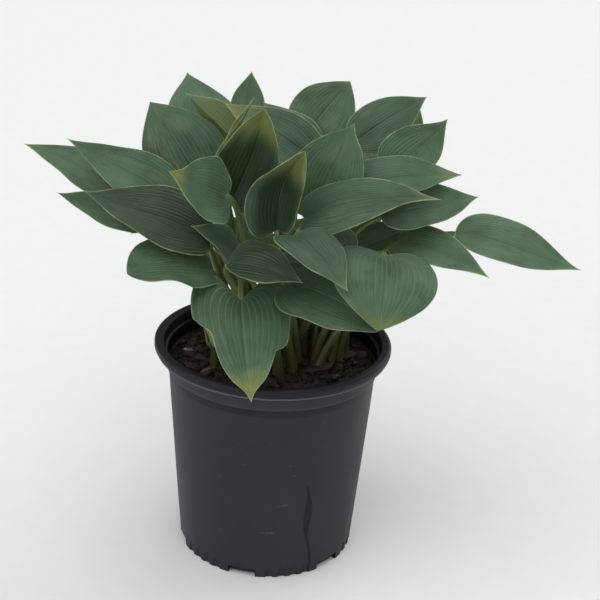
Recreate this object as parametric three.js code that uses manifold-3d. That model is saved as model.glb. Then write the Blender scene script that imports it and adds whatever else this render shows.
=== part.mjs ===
// Potted hosta: a clump of cordate, parallel-veined leaves on channelled stalks,
// growing from bark mix in a black nursery pot.
// Millimetres, +Z up. The origin is the middle of the pot's flat underside.
import * as THREE from 'three';
import { mergeVertices } from 'three/addons/utils/BufferGeometryUtils.js';
import Module from 'manifold-3d';

const wasm = await Module();
wasm.setup();

// Nursery pot
const POT_HEIGHT = 216;
const LIP_RADIUS = 114;
const BASE_RADIUS = 86.5;
const WALL = 2;
const FLOOR = 3;
const POT_SIDES = 48;
const SLOTS = 6;
const SLOT_TURN = -0.22;        // of a slot pitch, from the front
const SLOT_WIDTH = 27;
const SLOT_HEIGHT = 8;
const SLOT_REACH = 16;          // of the block that cuts a slot, through the wall
const FLUTES_PER_GROUP = 4;
const FLUTE_PITCH = 8;          // degrees
const FLUTE_RADIUS = 4;
const FLUTE_DEPTH = 0.9;
const FLUTE_HEIGHT = 12;

// Growing mix
const SOIL_LEVEL = 195;
const SOIL_RADIUS = 97.8;
const SOIL_SIDES = 24;
const MOUND = 5;
const CHIPS = 12;
const CHIP_SEED = 11;
const CHIP_REACH = 84;
const CHIP_LENGTH = [12, 22];
const CHIP_WIDTH = [6, 11];
const CHIP_HEIGHT = [4, 6];
const CHIP_TILT = 0.5;           // radians, end to end
const CHIP_RISE = 0.6;
const CHIP_CLEARANCE = 15;      // from a stalk's middle to a chip's middle

// Leaves
const BLADE_THICKNESS = 0.9;
const STALK_SIDES = 5;
const STALK_STEPS = 5;
const STALK_FOOT_RADIUS = 4.6;
const STALK_NECK_RADIUS = 2.4;
const STALK_DEPTH = 12;         // how far a stalk stands in its hole
const HOLE_CLEARANCE = 0.9;
const HOLE_LENGTH = 22;
const NECK_DROP = 1.5;           // from the blade's surface to the stalk's middle
const RIB_DROP = 1.1;            // the same where it runs on under the midrib

const DEGREE = Math.PI / 180;

// What a leaf has unless its row says otherwise. Lengths are millimetres and turns are degrees.
//   width          widest width, measured over the curved surface
//   roll           turn of the upper side about the line from base to tip
//   rise, droop    angle of the midrib above that line at the base and below it at the tip
//   sweep          sideways bow of the midrib
//   fold, curl     slope of the two halves at the midrib, and their further turn out to the margin
//   rim            how far the outermost margin rolls under
//   wave, waves    height and count of the margin's waves
//   lobe           how far the two lobes reach back past the stalk
//   bites          where a margin is drawn in: side (0 is both), start, deepest, end and depth
//   heel, taper    exponents of the outline near the base and near the tip
//   lean, neck     sideways pull of the stalk at its foot, and length of its bend under the blade
const LEAF = {
  width: 60, roll: 0, rise: 20, droop: 20, sweep: 0, fold: 14, curl: 0, rim: 0, wave: 1.5, waves: 2,
  lobe: 0.13, heel: 0.7, taper: 1.4, lean: [0, 0], neck: 0.28, bites: [], rows: 7, columns: 6,
};

// Each leaf: the foot of its stalk on the soil, the base of its blade and its tip.
const LEAVES = [
  { name: 'front_leaf_1', root: [5, -39], base: [-28, -82, 288], tip: [-13, -159, 227], width: 90,
    roll: -4, rise: 8, droop: 14, sweep: 4, fold: 6, curl: -20, wave: 2.5, lobe: 0.4, heel: 0.5,
    taper: 1.2, lean: [12, -20], neck: 0.8,
    bites: [[-1, 0.53, 0.56, 0.98, 0.24], [1, 0.36, 0.42, 1, 0.32], [0, 0.8, 0.95, 1.3, 0.4]], rows: 9 },
  { name: 'front_leaf_2', root: [-10, -26], base: [-41, -64, 315], tip: [26, -103, 316], width: 58,
    roll: 24, rise: 25, droop: 8, fold: 16, curl: -20, lean: [19, -1], neck: 0.21,
    bites: [[1, -0.01, 0.03, 0.85, 0.5]] },
  { name: 'front_leaf_3', root: [0, -15], base: [14, -74, 348], tip: [64, -132, 322], width: 60,
    roll: 0, rise: 30, droop: 0, fold: 14, curl: -15 },
  { name: 'front_leaf_4', root: [21, -31], base: [13, -61, 297], tip: [93, -104, 274], width: 74,
    roll: 22, rise: 25, droop: 35, fold: 6, curl: -10, wave: 3, heel: 0.6, taper: 0.9,
    bites: [[-1, 0.6, 0.64, 0.78, 0.14], [-1, 0.76, 0.79, 1, 0.16]], rows: 9 },
  { name: 'front_leaf_5', root: [40, -16], base: [97, -74, 334], tip: [92, -118, 281], width: 102,
    roll: -16, rise: 45, droop: 35, fold: 5, curl: -30, wave: 2.5, lobe: 0.32, heel: 0.55, taper: 1,
    rows: 9 },
  { name: 'left_leaf_1', root: [-53, -25], base: [-57, -51, 303], tip: [-128, -90, 311], width: 62,
    roll: -28, rise: 35, droop: 60, fold: 10, curl: -10, wave: 4, taper: 0.8, lean: [-4, -3], neck: 0.27 },
  { name: 'left_leaf_2', root: [-36, -9], base: [-62, -42, 330], tip: [-169, -62, 375], width: 70,
    roll: -32, rise: 14, droop: -5, fold: 12, curl: -8, taper: 1.3 },
  { name: 'left_leaf_3', root: [-52, -8], base: [-127, -12, 328], tip: [-206, 2, 351], width: 46,
    roll: -25, rise: 15, droop: 0, fold: 12, curl: 0, taper: 1.4 },
  { name: 'left_leaf_4', root: [-46, 5], base: [-91, -8, 348], tip: [-196, 4, 403], width: 60,
    roll: -32, rise: 10, droop: -2, fold: 12, curl: -5, taper: 1.4 },
  { name: 'left_leaf_5', root: [-58, 12], base: [-148, 30, 345], tip: [-246, 50, 382], width: 50,
    roll: -25, rise: 15, droop: 10, fold: 10, curl: -5, taper: 1.4 },
  { name: 'upper_leaf_1', root: [-34, 20], base: [-72, 30, 355], tip: [-127, 60, 426], width: 80,
    roll: -40, rise: 14, droop: 14, fold: 4, curl: -8, taper: 1.1 },
  { name: 'upper_leaf_2', root: [-25, 36], base: [-73, 76, 385], tip: [-100, 138, 438], width: 70,
    roll: -5, rise: 12, droop: 8, fold: 4, curl: 0 },
  { name: 'upper_leaf_3', root: [-7, 25], base: [-34, 46, 387], tip: [-96, 75, 433], width: 54,
    roll: 70, rise: 5, droop: 5, fold: 16, curl: 0, taper: 1.4, lean: [-2, 0], neck: 0.14, columns: 4 },
  { name: 'upper_leaf_4', root: [-6, 42], base: [-38, 96, 393], tip: [-36, 148, 440], width: 36,
    roll: 0, rise: 12, droop: 12, fold: 10, curl: 0, columns: 4 },
  { name: 'upper_leaf_5', root: [14, 26], base: [32, 26, 387], tip: [-56, 49, 431], width: 54,
    roll: -40, rise: 10, droop: 5, fold: 12, curl: 0, taper: 1.3, lean: [6, 4], neck: 0.16, columns: 4 },
  { name: 'upper_leaf_6', root: [25, 47], base: [32, 52, 384], tip: [-22, 78, 427], width: 42,
    roll: -35, rise: 10, droop: 5, fold: 12, curl: 0, taper: 1.3, neck: 0.12, columns: 4 },
  { name: 'upper_leaf_7', root: [10, 37], base: [21, 68, 398], tip: [62, 104, 445], width: 64,
    roll: 35, rise: 12, droop: 12, fold: 4, curl: -5, taper: 1.1 },
  { name: 'upper_leaf_8', root: [40, 28], base: [69, 54, 399], tip: [136, 86, 438], width: 50,
    roll: 40, rise: 15, droop: 10, fold: 6, curl: -10, taper: 1.3, lean: [10, -8] },
  { name: 'upper_leaf_9', root: [46, 48], base: [103, 74, 385], tip: [130, 100, 425], width: 60,
    roll: -110, rise: 5, droop: 0, fold: 8, curl: 0, taper: 1, columns: 4 },
  { name: 'middle_leaf_1', root: [-23, -5], base: [-45, -42, 371], tip: [-94, -72, 400], width: 62,
    roll: -66, rise: -4, droop: -8, fold: 3, curl: 22, wave: 3, lobe: 0.12, heel: 0.42, taper: 1.15,
    lean: [-7, 0], neck: 0.13,
    bites: [[1, -0.01, 0.01, 0.45, 0.42], [-1, 0.6, 0.85, 1.3, 0.35], [1, 0.6, 0.85, 1.3, 0.35]] },
  { name: 'middle_leaf_2', root: [-11, 1], base: [-44, -8, 354], tip: [-16, -30, 449], width: 78,
    roll: 120, rise: -22, droop: -22, sweep: 8, fold: [22, 15], curl: [40, 45], rim: 5, lobe: 0.1,
    heel: 0.5, taper: 1, lean: [5, 5], neck: 0.26, bites: [[-1, -0.02, 0, 0.3, 0.4]] },
  { name: 'middle_leaf_3', root: [14, -18], base: [0, -40, 341], tip: [22, -51, 418], width: 74,
    roll: 138, rise: -34, droop: -30, sweep: -10, fold: [12, 62], curl: [22, 35], rim: 9, wave: 1,
    lobe: 0.2, heel: 0.5, taper: 0.8, lean: [5, 2], neck: 0.34,
    bites: [[-1, 0.6, 0.86, 1.4, 0.5], [1, -0.01, 0.01, 0.4, 0.2]] },
  { name: 'middle_leaf_4', root: [25, -14], base: [24, -36, 351], tip: [144, -54, 381], width: 56,
    roll: 32, rise: 22, droop: 25, fold: [12, 12], curl: [-10, -35],
    bites: [[1, 0.4, 0.8, 1.4, 0.4], [-1, 0.75, 0.92, 1.4, 0.4]], rows: 9 },
  { name: 'middle_leaf_5', root: [30, 4], base: [31, -10, 343], tip: [65, 2, 431], width: 76, roll: 44,
    rise: 12, droop: 5, fold: 8, curl: 0, taper: 1.1, bites: [[0, 0.8, 0.95, 1.3, 0.35]] },
  { name: 'inner_leaf_1', root: [3, 8], base: [-37, 35, 309], tip: [-46, 41, 364], width: 36, roll: 58,
    fold: 8, lean: [17, 8], neck: 0.34, rows: 6, columns: 4 },
  { name: 'inner_leaf_2', root: [-23, -36], base: [-35, -31, 305], tip: [-77, -48, 343], width: 46,
    roll: -28, fold: 10, lean: [-6, 3], neck: 0.13, rows: 6, columns: 4 },
  { name: 'inner_leaf_3', root: [-12, -14], base: [-12, 18, 283], tip: [-33, 14, 336], width: 42,
    roll: 91, fold: 8, lean: [3, 5], neck: 0.21, rows: 6, columns: 4 },
  { name: 'inner_leaf_4', root: [15, -1], base: [43, -24, 296], tip: [-3, -32, 312], width: 40,
    roll: -69, fold: 8, lean: [3, -7], neck: 0.26, rows: 6, columns: 4 },
  { name: 'inner_leaf_5', root: [40, -28], base: [66, -28, 312], tip: [20, -25, 340], width: 46,
    roll: -70, fold: 8, lean: [8, 7], neck: 0.33, rows: 6, columns: 4 },
  { name: 'inner_leaf_6', root: [4, 20], base: [20, 34, 363], tip: [-17, 40, 394], width: 42,
    roll: -70, fold: 8, rows: 6, columns: 4 },
  { name: 'inner_leaf_7', root: [40, -4], base: [79, 9, 307], tip: [128, 23, 329], width: 38, roll: 64,
    fold: 8, lean: [-2, -4], neck: 0.36, rows: 6, columns: 4 },
  { name: 'right_leaf_1', root: [55, -12], base: [111, -16, 325], tip: [191, -68, 315], width: 46,
    roll: 30, rise: 30, droop: 20, fold: 20, curl: -20 },
  { name: 'right_leaf_2', root: [62, -2], base: [162, -22, 340], tip: [277, -42, 317], width: 54,
    roll: 30, rise: 20, droop: -6, fold: 15, curl: -10, heel: 1, taper: 1.5 },
  { name: 'right_leaf_3', root: [48, 6], base: [94, -20, 352], tip: [183, 0, 368], width: 60, roll: 25,
    rise: 4, droop: 0, fold: 8, curl: 0, heel: 0.8, taper: 1.3 },
  { name: 'right_leaf_4', root: [42, 19], base: [64, -1, 371], tip: [167, 7, 386], width: 54, roll: 30,
    rise: 18, droop: 8, fold: 10, curl: -5, taper: 1.3 },
  { name: 'right_leaf_5', root: [53, 27], base: [100, 24, 378], tip: [154, 54, 426], width: 56,
    roll: 38, rise: -5, droop: -35, fold: 12, curl: 12, heel: 0.8, taper: 1.4 },
  { name: 'back_leaf_1', root: [67, 34], base: [104, 48, 335], tip: [172, 118, 325], width: 60,
    rows: 7, columns: 4 },
  { name: 'back_leaf_2', root: [57, 56], base: [75, 90, 365], tip: [135, 165, 350], width: 62, rows: 7,
    columns: 4 },
  { name: 'back_leaf_3', root: [28, 60], base: [50, 100, 345], tip: [95, 200, 305], width: 64, rows: 7,
    columns: 4 },
  { name: 'back_leaf_4', root: [12, 54], base: [22, 108, 372], tip: [42, 200, 368], width: 62, rows: 7,
    columns: 4 },
  { name: 'back_leaf_5', root: [4, 68], base: [8, 90, 300], tip: [18, 190, 250], width: 66, rows: 7,
    columns: 4 },
  { name: 'back_leaf_6', root: [-10, 56], base: [-20, 112, 350], tip: [-12, 215, 322], width: 62,
    rows: 7, columns: 4 },
  { name: 'back_leaf_7', root: [-22, 64], base: [-48, 100, 335], tip: [-66, 200, 295], width: 64,
    rows: 7, columns: 4 },
  { name: 'back_leaf_8', root: [-36, 50], base: [-72, 95, 360], tip: [-120, 172, 345], width: 60,
    rows: 7, columns: 4 },
  { name: 'back_leaf_9', root: [-46, 36], base: [-90, 65, 325], tip: [-175, 122, 295], width: 62,
    rows: 7, columns: 4 },
  { name: 'back_leaf_10', root: [-59, 30], base: [-82, 48, 298], tip: [-150, 86, 282], width: 60,
    rows: 7, columns: 4 },
  { name: 'back_leaf_11', root: [43, 65], base: [62, 80, 300], tip: [132, 150, 258], width: 64,
    rows: 7, columns: 4 },
  { name: 'back_leaf_12', root: [69, 17], base: [98, 22, 296], tip: [152, 56, 288], width: 58, rows: 7,
    columns: 4 },
  { name: 'back_leaf_13', root: [-38, 66], base: [-50, 80, 290], tip: [-105, 158, 246], width: 62,
    rows: 7, columns: 4 },
  { name: 'furled_leaf', root: [-19, 21], base: [-56, 13, 385], tip: [-27, 22, 445], width: 14,
    roll: 20, rise: 5, droop: -5, fold: 55, curl: 30, heel: 0.5, taper: 1, columns: 4, young: true },
  { name: 'young_leaf', root: [-38, -30], base: [-56, -54, 232], tip: [-71, -60, 270], width: 42,
    roll: -30, rise: 5, droop: 10, fold: 20, curl: 20, taper: 0.8, neck: 0.15, foot: 3, rows: 6,
    columns: 4, young: true },
].map((row) => ({ ...LEAF, ...row }));

const COLOURS = {
  leaf: 0x6f9484,
  young: 0x9aa872,
  pot: 0x2b2d31,
  soil: 0x3a2a22,
};

const vec = (v) => new THREE.Vector3(v[0], v[1], v[2]);

function both(value) {
  return Array.isArray(value) ? value : [value, value];
}

// A closed triangle mesh as a solid.
function solid(vertices, triangles) {
  const vertProperties = new Float32Array(vertices.flatMap((p) => [p.x, p.y, p.z]));
  const triVerts = new Uint32Array(triangles.flat());
  return new wasm.Manifold(new wasm.Mesh({ numProp: 3, vertProperties, triVerts }));
}

function toMesh(name, manifold, colour, roughness) {
  const { vertProperties, triVerts } = manifold.getMesh();
  const geometry = new THREE.BufferGeometry();
  geometry.setAttribute('position', new THREE.BufferAttribute(new Float32Array(vertProperties), 3));
  geometry.setIndex(new THREE.BufferAttribute(new Uint32Array(triVerts), 1));
  geometry.computeVertexNormals();
  const material = new THREE.MeshStandardMaterial({ color: colour, roughness, metalness: 0 });
  const mesh = new THREE.Mesh(geometry, material);
  mesh.name = name;
  return mesh;
}

// The largest connected body of a solid.
function largest(manifold) {
  const bodies = manifold.decompose();
  return bodies.reduce((best, body) => (body.volume() > best.volume() ? body : best));
}

// A stack of closed rings, capped at both ends. Every ring has the same number of points,
// counter-clockwise seen from the far end of the stack.
function loft(rings) {
  const n = rings[0].length;
  const vertices = rings.flat();
  const triangles = [];
  for (let k = 0; k + 1 < rings.length; k += 1) {
    for (let i = 0; i < n; i += 1) {
      const a = k * n + i;
      const b = k * n + (i + 1) % n;
      triangles.push([a, b, b + n], [a, b + n, a + n]);
    }
  }
  const last = (rings.length - 1) * n;
  for (let i = 1; i + 1 < n; i += 1) {
    triangles.push([0, i + 1, i], [last, last + i, last + i + 1]);
  }
  return solid(vertices, triangles);
}

// A closed three.js geometry as a solid: shared points merged, triangles without area left out.
function fromGeometry(geometry) {
  geometry.deleteAttribute('normal');
  geometry.deleteAttribute('uv');
  const merged = mergeVertices(geometry, 1e-3);
  const { array: index } = merged.index;
  const corners = [];
  for (let k = 0; k < index.length; k += 3) {
    const [a, b, c] = index.slice(k, k + 3);
    if (a !== b && b !== c && c !== a) corners.push(a, b, c);
  }
  return new wasm.Manifold(new wasm.Mesh({
    numProp: 3,
    vertProperties: new Float32Array(merged.attributes.position.array),
    triVerts: new Uint32Array(corners),
  }));
}

// Profile points [radius, height] that run from the axis out, up and back to it, turned about Z.
// The height function may move a point up or down.
function turned(profile, sides, height = (x, y, z) => z) {
  const points = profile.map(([r, z]) => new THREE.Vector2(r, z));
  const geometry = new THREE.LatheGeometry(points, sides).rotateX(Math.PI / 2);
  const { position } = geometry.attributes;
  for (let i = 0; i < position.count; i += 1) {
    position.setZ(i, height(position.getX(i), position.getY(i), position.getZ(i)));
  }
  return fromGeometry(geometry);
}

// Midrib: a cubic Hermite curve from base to tip. Returns its frame at t (0 base, 1 tip).
function midrib(leaf, t) {
  const base = vec(leaf.base);
  const tip = vec(leaf.tip);
  const chord = tip.clone().sub(base);
  const length = chord.length();
  const along = chord.clone().divideScalar(length);
  const up = new THREE.Vector3(0, 0, 1).addScaledVector(along, -along.z).normalize();
  up.applyAxisAngle(along, leaf.roll * DEGREE);
  const side = along.clone().cross(up);
  const rise = leaf.rise * DEGREE;
  const droop = leaf.droop * DEGREE;
  const sweep = Math.sin(leaf.sweep * DEGREE);
  const start = along.clone().multiplyScalar(Math.cos(rise)).addScaledVector(up, Math.sin(rise))
    .addScaledVector(side, sweep).multiplyScalar(length);
  const end = along.clone().multiplyScalar(Math.cos(droop)).addScaledVector(up, -Math.sin(droop))
    .addScaledVector(side, -sweep).multiplyScalar(length);
  const c = Math.min(Math.max(t, 0), 1);
  const point = base.clone().multiplyScalar(2 * c ** 3 - 3 * c ** 2 + 1)
    .addScaledVector(start, c ** 3 - 2 * c ** 2 + c)
    .addScaledVector(tip, -2 * c ** 3 + 3 * c ** 2)
    .addScaledVector(end, c ** 3 - c ** 2)
    .addScaledVector(start, Math.min(t, 0));
  const tangent = base.clone().multiplyScalar(6 * c ** 2 - 6 * c)
    .addScaledVector(start, 3 * c ** 2 - 4 * c + 1)
    .addScaledVector(tip, -6 * c ** 2 + 6 * c)
    .addScaledVector(end, 3 * c ** 2 - 2 * c)
    .normalize();
  const normal = up.clone().addScaledVector(tangent, -up.dot(tangent)).normalize();
  return { point, tangent, normal, side: tangent.clone().cross(normal) };
}

// Outline of a leaf: half width over its largest, at the share s of the way to the tip.
function outline(leaf, s) {
  const peak = leaf.heel / (leaf.heel + leaf.taper);
  return (s / peak) ** leaf.heel * ((1 - s) / (1 - peak)) ** leaf.taper;
}

// v once its margin is drawn in: a bite deepens from its start and eases off to its end.
function drawnIn(leaf, s, v) {
  return leaf.bites.filter(([side]) => side * v >= 0).reduce((value, [, start, deepest, end, depth]) => {
    const { smoothstep } = THREE.MathUtils;
    return value * (1 - depth * smoothstep(s, start, deepest) * (1 - smoothstep(s, deepest, end)));
  }, v);
}

// A point of the blade: s runs along a vein from stalk to tip, v across from margin to margin.
function bladePoint(leaf, s, margin) {
  const v = drawnIn(leaf, s, margin);
  const half = outline(leaf, s);
  const out = Math.abs(v) * half;
  const back = 1.6 * leaf.lobe * half * (1 - s) ** 3;
  const frame = midrib(leaf, s - Math.abs(v) ** 1.5 * back);
  const right = v > 0 ? 1 : 0;
  const fold = both(leaf.fold)[right] * DEGREE;
  const curl = (both(leaf.curl)[right] || 0.1) * DEGREE;
  const radius = leaf.width / 2 / curl;
  const across = radius * (Math.sin(fold + curl * out) - Math.sin(fold));
  const ripple = Math.sin(2 * Math.PI * (leaf.waves * s + 0.37 * right)) * out ** 2;
  const roll = Math.max((out - 0.6) / 0.4, 0) ** 2;
  const lift = radius * (Math.cos(fold) - Math.cos(fold + curl * out)) + leaf.wave * ripple
    - leaf.rim * roll;
  return frame.point.addScaledVector(frame.side, Math.sign(v) * across)
    .addScaledVector(frame.normal, lift);
}

// The blade: two like sheets of triangles, half a thickness to either side of the leaf's surface.
function blade(leaf) {
  const { rows, columns } = leaf;
  const grid = [];
  for (let i = 0; i <= rows; i += 1) {
    const u = i / rows;
    const s = 0.5 * u ** 1.6 + 0.5 * (1 - (1 - u) ** 1.25);
    const count = i === 0 || i === rows ? 0 : columns;
    grid.push([...Array(count + 1).keys()].map((j) => bladePoint(leaf, s, count ? 2 * j / count - 1 : 0)));
  }
  const starts = [];
  grid.reduce((total, row) => {
    starts.push(total);
    return total + row.length;
  }, 0);
  const id = (i, j) => starts[i] + (grid[i].length > 1 ? j : 0);
  const points = grid.flat();
  const faces = [];
  for (let i = 0; i < rows; i += 1) {
    for (let j = 0; j < columns; j += 1) {
      const corners = [id(i, j), id(i, j + 1), id(i + 1, j + 1), id(i + 1, j)];
      if (corners[0] !== corners[1]) faces.push([corners[0], corners[1], corners[2]]);
      if (corners[2] !== corners[3]) faces.push([corners[0], corners[2], corners[3]]);
    }
  }
  const normals = points.map(() => new THREE.Vector3());
  faces.forEach((face) => {
    const [a, b, c] = face.map((k) => points[k]);
    const normal = b.clone().sub(a).cross(c.clone().sub(a));
    face.forEach((k) => normals[k].add(normal));
  });
  const shift = BLADE_THICKNESS / 2;
  const upper = points.map((p, k) => p.clone().addScaledVector(normals[k].normalize(), shift));
  const lower = points.map((p, k) => p.clone().addScaledVector(normals[k], -shift));
  const n = points.length;
  const triangles = [...faces, ...faces.map(([a, b, c]) => [a + n, c + n, b + n])];
  for (let i = 0; i < rows; i += 1) {
    const [a, d] = [id(i, 0), id(i + 1, 0)];
    const [b, c] = [id(i, columns), id(i + 1, columns)];
    triangles.push([a, d, d + n], [a, d + n, a + n], [c, b, b + n], [c, b + n, c + n]);
  }
  return solid([...upper, ...lower], triangles);
}

// Middle line of a stalk: a Bezier curve from its hole to the blade, run on under the midrib.
function stalkPath(leaf) {
  const frame = midrib(leaf, 0);
  const foot = new THREE.Vector3(...leaf.root, SOIL_LEVEL - STALK_DEPTH);
  const head = frame.point.clone().addScaledVector(frame.normal, -NECK_DROP);
  const reach = foot.distanceTo(head);
  const pull = new THREE.Vector3(...leaf.lean, 0.38 * reach);
  const curve = new THREE.CubicBezierCurve3(
    foot,
    foot.clone().add(pull),
    head.clone().addScaledVector(frame.tangent, -leaf.neck * reach),
    head,
  );
  const path = curve.getPoints(STALK_STEPS);
  [0.06, 0.16].forEach((t) => {
    const under = midrib(leaf, t);
    path.push(under.point.addScaledVector(under.normal, -RIB_DROP));
  });
  return path;
}

// A tube along a path, with its ring frames carried along without twisting.
function tube(path, radii, sides) {
  let across = new THREE.Vector3(1, 0, 0);
  const rings = path.map((point, k) => {
    const before = path[Math.max(k - 1, 0)];
    const after = path[Math.min(k + 1, path.length - 1)];
    const tangent = after.clone().sub(before).normalize();
    across = across.clone().addScaledVector(tangent, -across.dot(tangent)).normalize();
    const other = tangent.clone().cross(across);
    return [...Array(sides).keys()].map((i) => {
      const a = 2 * Math.PI * i / sides;
      return point.clone().addScaledVector(across, radii[k] * Math.cos(a))
        .addScaledVector(other, radii[k] * Math.sin(a));
    });
  });
  return loft(rings);
}

function stalk(leaf) {
  const path = stalkPath(leaf);
  const foot = leaf.foot ?? STALK_FOOT_RADIUS;
  const radii = path.map((_, k) => THREE.MathUtils.lerp(foot, STALK_NECK_RADIUS, k / STALK_STEPS));
  radii.splice(-2, 2, 0.7 * STALK_NECK_RADIUS, 0.45 * STALK_NECK_RADIUS);
  return tube(path, radii, STALK_SIDES);
}

// The hole a stalk stands in: wider than its foot, and running on past the top of the mix.
function hole(leaf) {
  const [foot, next] = stalkPath(leaf);
  const radius = (leaf.foot ?? STALK_FOOT_RADIUS) + HOLE_CLEARANCE;
  const up = next.clone().sub(foot).normalize();
  const path = [-1, HOLE_LENGTH].map((d) => foot.clone().addScaledVector(up, d));
  return tube(path, [radius, radius], 6);
}

// The pot's half section: underside, wall, collar, rolled lip, inside of the collar and floor.
const POT_PROFILE = [
  [0, 0], [BASE_RADIUS - 1, 0], [BASE_RADIUS, 1], [100.3, 190], [102.6, 192.5], [103.4, 205.5],
  [111.8, 206], [113.6, 207.5], [LIP_RADIUS, 210], [113.8, 213.5], [112.4, 215.5],
  [110.3, POT_HEIGHT], [106.8, 215.4], [105.2, 213], [103.4, 207.5], [101.3, 205], [100.5, 193.4],
  [98.3, 190.6], [BASE_RADIUS - WALL, FLOOR], [0, FLOOR],
];

// A flute's cutter stands on its axis: straight below, narrowing to a round-topped end.
const FLUTE_PROFILE = [
  [0, -1], [FLUTE_RADIUS, -1], [FLUTE_RADIUS, FLUTE_HEIGHT - 2],
  [0.4 * FLUTE_RADIUS, FLUTE_HEIGHT + 2], [0, FLUTE_HEIGHT + 2],
];

function pot() {
  let body = turned(POT_PROFILE, POT_SIDES);
  const step = 360 / SLOTS;
  const box = new THREE.BoxGeometry(SLOT_REACH, SLOT_WIDTH, SLOT_HEIGHT + 1);
  const slot = fromGeometry(box.translate(BASE_RADIUS, 0, (SLOT_HEIGHT - 1) / 2));
  const flute = turned(FLUTE_PROFILE, 6).translate([BASE_RADIUS + FLUTE_RADIUS - FLUTE_DEPTH, 0, 0]);
  for (let k = 0; k < SLOTS; k += 1) {
    const turn = (k + SLOT_TURN) * step - 90;
    body = body.subtract(slot.rotate([0, 0, turn]));
    for (let i = 0; i < FLUTES_PER_GROUP; i += 1) {
      const off = (i - (FLUTES_PER_GROUP - 1) / 2) * FLUTE_PITCH;
      body = body.subtract(flute.rotate([0, 0, turn + step / 2 + off]));
    }
  }
  return body;
}

// Height of the growing mix: mounded at the clump, with low lumps.
function soilHeight(x, y) {
  const r = Math.hypot(x, y) / SOIL_RADIUS;
  const lumps = 1.6 * Math.sin(x / 11 + 1) * Math.cos(y / 9) + 1.1 * Math.sin((x + y) / 6.5);
  return SOIL_LEVEL + MOUND * (1 - r * r) - 2 + lumps * (1 - r ** 8);
}

function random(seed) {
  let state = seed;
  return () => {
    state = (state * 1664525 + 1013904223) % 4294967296;
    return state / 4294967296;
  };
}

// A slab of bark: a box with a narrower top, tilted and pressed into the mix.
function chip(x, y, draw) {
  const between = ([low, high]) => low + (high - low) * draw();
  const size = new THREE.Vector3(between(CHIP_LENGTH), between(CHIP_WIDTH), between(CHIP_HEIGHT));
  const turn = new THREE.Euler(CHIP_TILT * (draw() - 0.5), CHIP_TILT * (draw() - 0.5), Math.PI * draw());
  const centre = new THREE.Vector3(x, y, soilHeight(x, y) + CHIP_RISE);
  const box = new THREE.BoxGeometry(1, 1, 1);
  const { position } = box.attributes;
  for (let i = 0; i < position.count; i += 1) {
    const corner = new THREE.Vector3().fromBufferAttribute(position, i);
    corner.x *= 1 - 0.25 * (corner.z + corner.y / 2);
    position.setXYZ(i, ...corner.multiply(size).applyEuler(turn).add(centre));
  }
  return fromGeometry(box);
}

// Chips strewn over the mix, clear of the stalks.
function chips() {
  const draw = random(CHIP_SEED);
  const placed = [];
  while (placed.length < CHIPS) {
    const r = CHIP_REACH * Math.sqrt(draw());
    const a = 2 * Math.PI * draw();
    const [x, y] = [r * Math.cos(a), r * Math.sin(a)];
    const clear = LEAVES.every(({ root }) => Math.hypot(root[0] - x, root[1] - y) > CHIP_CLEARANCE);
    if (clear) placed.push(chip(x, y, draw));
  }
  return placed;
}

function soil() {
  const profile = [
    [0, FLOOR + 0.4], [BASE_RADIUS - WALL - 0.5, FLOOR + 0.4], [SOIL_RADIUS, SOIL_LEVEL - 3],
    ...[0.88, 0.67, 0.45, 0.22, 0].map((share) => [share * SOIL_RADIUS, SOIL_LEVEL]),
  ];
  const top = (x, y, z) => (z < SOIL_LEVEL ? z : soilHeight(x, y));
  let body = turned(profile, SOIL_SIDES, top);
  chips().forEach((piece) => {
    body = body.add(piece);
  });
  LEAVES.forEach((leaf) => {
    body = body.subtract(hole(leaf));
  });
  return largest(body.simplify(0.05));
}

const group = new THREE.Group();
group.add(toMesh('pot', pot(), COLOURS.pot, 0.55));
group.add(toMesh('soil', soil(), COLOURS.soil, 0.95));
LEAVES.forEach((leaf) => {
  const colour = leaf.young ? COLOURS.young : COLOURS.leaf;
  group.add(toMesh(leaf.name, stalk(leaf).add(blade(leaf)).simplify(0.01), colour, 0.6));
});

export default group;
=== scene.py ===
"""Potted hosta: the finished leaves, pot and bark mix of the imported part, in a plain studio.

Leaves, pot and mix are surfaces worked out as whole arrays in millimetres. A leaf's surface has
two parameters: s runs along a vein from the stalk (0) to the tip (1), and v across the blade from
the left margin (-1) over the midrib (0) to the right margin (1).
"""
import math

import bpy
import numpy as np
from bpy.props import FloatProperty, FloatVectorProperty, IntProperty, PointerProperty
from mathutils import Matrix


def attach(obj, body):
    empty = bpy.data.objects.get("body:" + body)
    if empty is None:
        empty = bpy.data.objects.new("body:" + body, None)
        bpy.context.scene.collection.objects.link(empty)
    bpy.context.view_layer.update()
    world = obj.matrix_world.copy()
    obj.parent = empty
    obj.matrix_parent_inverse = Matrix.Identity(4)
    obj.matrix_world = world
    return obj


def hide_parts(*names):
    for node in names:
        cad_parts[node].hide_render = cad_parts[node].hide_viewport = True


bl_info = {
    "name": "Potted Hosta",
    "version": (1, 0, 0),
    "blender": (4, 5, 0),
    "location": "3D View > Sidebar > Hosta",
    "description": "Builds a potted hosta: leaves, nursery pot, bark mix and a plain studio",
    "category": "Object",
}

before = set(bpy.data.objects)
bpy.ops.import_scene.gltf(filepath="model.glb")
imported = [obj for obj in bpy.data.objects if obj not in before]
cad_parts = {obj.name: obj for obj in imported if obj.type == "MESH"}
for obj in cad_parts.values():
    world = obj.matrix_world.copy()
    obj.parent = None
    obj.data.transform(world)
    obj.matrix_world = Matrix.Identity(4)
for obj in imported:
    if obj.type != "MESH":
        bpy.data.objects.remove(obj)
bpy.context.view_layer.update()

MM = 0.001

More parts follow.
